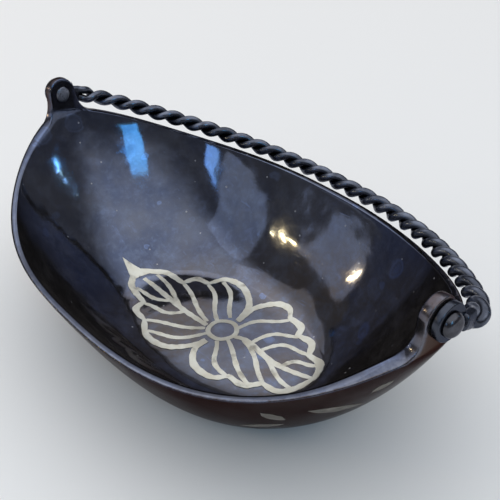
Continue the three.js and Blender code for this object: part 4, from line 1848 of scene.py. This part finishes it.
@dataclass
class Studio:
    """A pale floor, a soft sky of light, a few softboxes and the camera."""

    azimuth: float = 52.22
    elevation: float = 35.08
    roll: float = -3.63
    distance: float = 227.81
    focal_pixels: float = 793.18
    target: tuple[float, float, float] = (-5.54, 17.33, 19.0)
    floor_side: float = 12000.0
    floor_gap: float = 0.05
    floor_colour: Colour = (0.82, 0.79, 0.755)
    floor_roughness: float = 0.75
    horizon: Colour = (0.17, 0.172, 0.185)
    ceiling: Colour = (1.36, 1.41, 1.48)
    ceiling_start: float = 0.52
    ceiling_full: float = 0.80
    sky_azimuth: float = 140.0
    sky_elevation: float = 83.0
    glow: Colour = (0.66, 0.68, 0.71)
    glow_start: float = 0.085
    glow_full: float = 0.04
    lamp_distance: float = 1000.0
    aim_height: float = 20.0
    near_limit: float = 10.0
    softboxes: tuple[Softbox, ...] = (
        Softbox("sky_panel", -128, 42, 0.8, 0.42, (0.92, 0.95, 1.0), 0.66),
        Softbox("sky_side", -76, 45, 0.7, 0.44, (0.92, 0.95, 1.0), 0.6),
        Softbox("room_right", -51, 15, 0.36, 0.24, (0.80, 0.87, 1.0), 0.23),
        Softbox("room_left", -19, 35, 0.42, 0.58, (0.78, 0.87, 1.0), 0.6),
        Softbox("window_blue", 69, 36, 0.2, 0.34, (0.13, 0.54, 0.91), 1.12),
        Softbox("window_small", 1, 27, 0.13, 0.2, (0.28, 0.55, 0.95), 0.38),
        Softbox("sparkle", 149, 23.6, 0.036, 0.03, (0.2, 0.56, 1.0), 0.08),
        Softbox("sparkle_twin", 150.5, 24.8, 0.012, 0.014, (0.45, 0.8, 1.0), 0.04),
        Softbox("lamp_warm", -38, 20.8, 0.022, 0.022, (1.0, 0.76, 0.34), 0.25),
        Softbox("lamp_warm_low", -56, 13.4, 0.02, 0.034, (1.0, 0.8, 0.45), 0.3),
    )

    @staticmethod
    def _back(azimuth: float, elevation: float) -> Vector:
        """The direction from the object to a viewer or a lamp.

        Args:
            azimuth: 0 is in front, along -Y, and 90 on the right.
            elevation: Degrees above the horizon.

        Returns:
            A unit vector.
        """
        a, e = math.radians(azimuth), math.radians(elevation)
        return Vector((math.sin(a) * math.cos(e), -math.cos(a) * math.cos(e), math.sin(e)))

    def _camera(self) -> None:
        """Sets up the camera at the picture's angle."""
        back = self._back(self.azimuth, self.elevation)
        a, r = math.radians(self.azimuth), math.radians(self.roll)
        level = Vector((math.cos(a), math.sin(a), 0))
        upright = back.cross(level)
        right = level * math.cos(r) + upright * math.sin(r)
        up = upright * math.cos(r) - level * math.sin(r)
        data = bpy.data.cameras.new("camera")
        data.sensor_width = SENSOR_WIDTH
        data.lens = self.focal_pixels / IMAGE_SIDE * SENSOR_WIDTH
        data.clip_start = self.near_limit * MM
        camera = bpy.data.objects.new("camera", data)
        bpy.context.scene.collection.objects.link(camera)
        turn = Matrix((right, up, back)).transposed().to_4x4()
        eye = (Vector(self.target) + back * self.distance) * MM
        camera.matrix_world = Matrix.Translation(eye) @ turn
        bpy.context.scene.camera = camera

    def _floor(self) -> None:
        """Lays the pale floor just under the bowl."""
        place = (0, 0, -self.floor_gap * MM)
        add = bpy.ops.mesh.primitive_plane_add
        floor = new_primitive(add, "studio_floor", size=self.floor_side * MM, location=place)
        material, shader = new_material("studio_floor")
        shader.surface(Base_Color=self.floor_colour, Roughness=self.floor_roughness)
        floor.data.materials.append(material)

    def _sky(self) -> None:
        """Lights the scene from all round, more from above."""
        world = bpy.data.worlds.new("studio")
        world.use_nodes = True
        shader = Shader(world.node_tree)
        place = shader.node("ShaderNodeTexCoord")["Generated"]
        axis = tuple(self._back(self.sky_azimuth, self.sky_elevation))
        lift = shader.node("ShaderNodeVectorMath", {"operation": "DOT_PRODUCT"}, {0: place, 1: axis})["Value"]
        height = shader.node("ShaderNodeSeparateXYZ", None, {"Vector": place})["Z"]
        colour = shader.blend(lift.step(self.ceiling_start, self.ceiling_full), self.horizon, self.ceiling)
        colour = shader.blend(height.step(self.glow_start, self.glow_full), colour, self.glow)
        light = shader.node("ShaderNodeBackground", None, {"Color": colour, "Strength": 1.0})
        shader.node("ShaderNodeOutputWorld", None, {"Surface": light["Background"]})
        bpy.context.scene.world = world

    def _lamp(self, box: Softbox) -> None:
        """Hangs one softbox, facing the bowl.

        Args:
            box: Its place and light.
        """
        data = bpy.data.lights.new(box.name, "AREA")
        data.shape = "RECTANGLE"
        data.size, data.size_y = box.width, box.height
        data.color, data.energy = box.colour, box.watts
        lamp = bpy.data.objects.new(box.name, data)
        bpy.context.scene.collection.objects.link(lamp)
        back = self._back(box.azimuth, box.elevation)
        lamp.location = Vector((0, 0, self.aim_height * MM)) + back * (self.lamp_distance * MM)
        lamp.rotation_mode = "QUATERNION"
        lamp.rotation_quaternion = (-back).to_track_quat("-Z", "Y")

    def build(self) -> None:
        """Sets up the camera, the floor and the light."""
        self._camera()
        self._floor()
        self._sky()
        for box in self.softboxes:
            self._lamp(box)
        bpy.context.scene.view_settings.view_transform = "Standard"


def main() -> None:
    """Builds and dresses the bowl's sub-assemblies in order, then the studio."""
    logging.basicConfig(level=logging.INFO, format="%(name)s: %(message)s")
    Studio().build()
    body = BowlBody()
    body.build()
    body.dress(BlackAlloyFinish())
    silver = SilverFinish().make()
    for inlay in (FlowerInlay(body), WallLeaves(body)):
        inlay.build()
        inlay.dress(silver)
    bail = Bail(body)
    bail.build()
    bail.dress(HandleFinish())
    rivets = Rivets(body, bail)
    rivets.build()
    rivets.dress(RivetFinish())


if __name__ == "__main__":
    main()
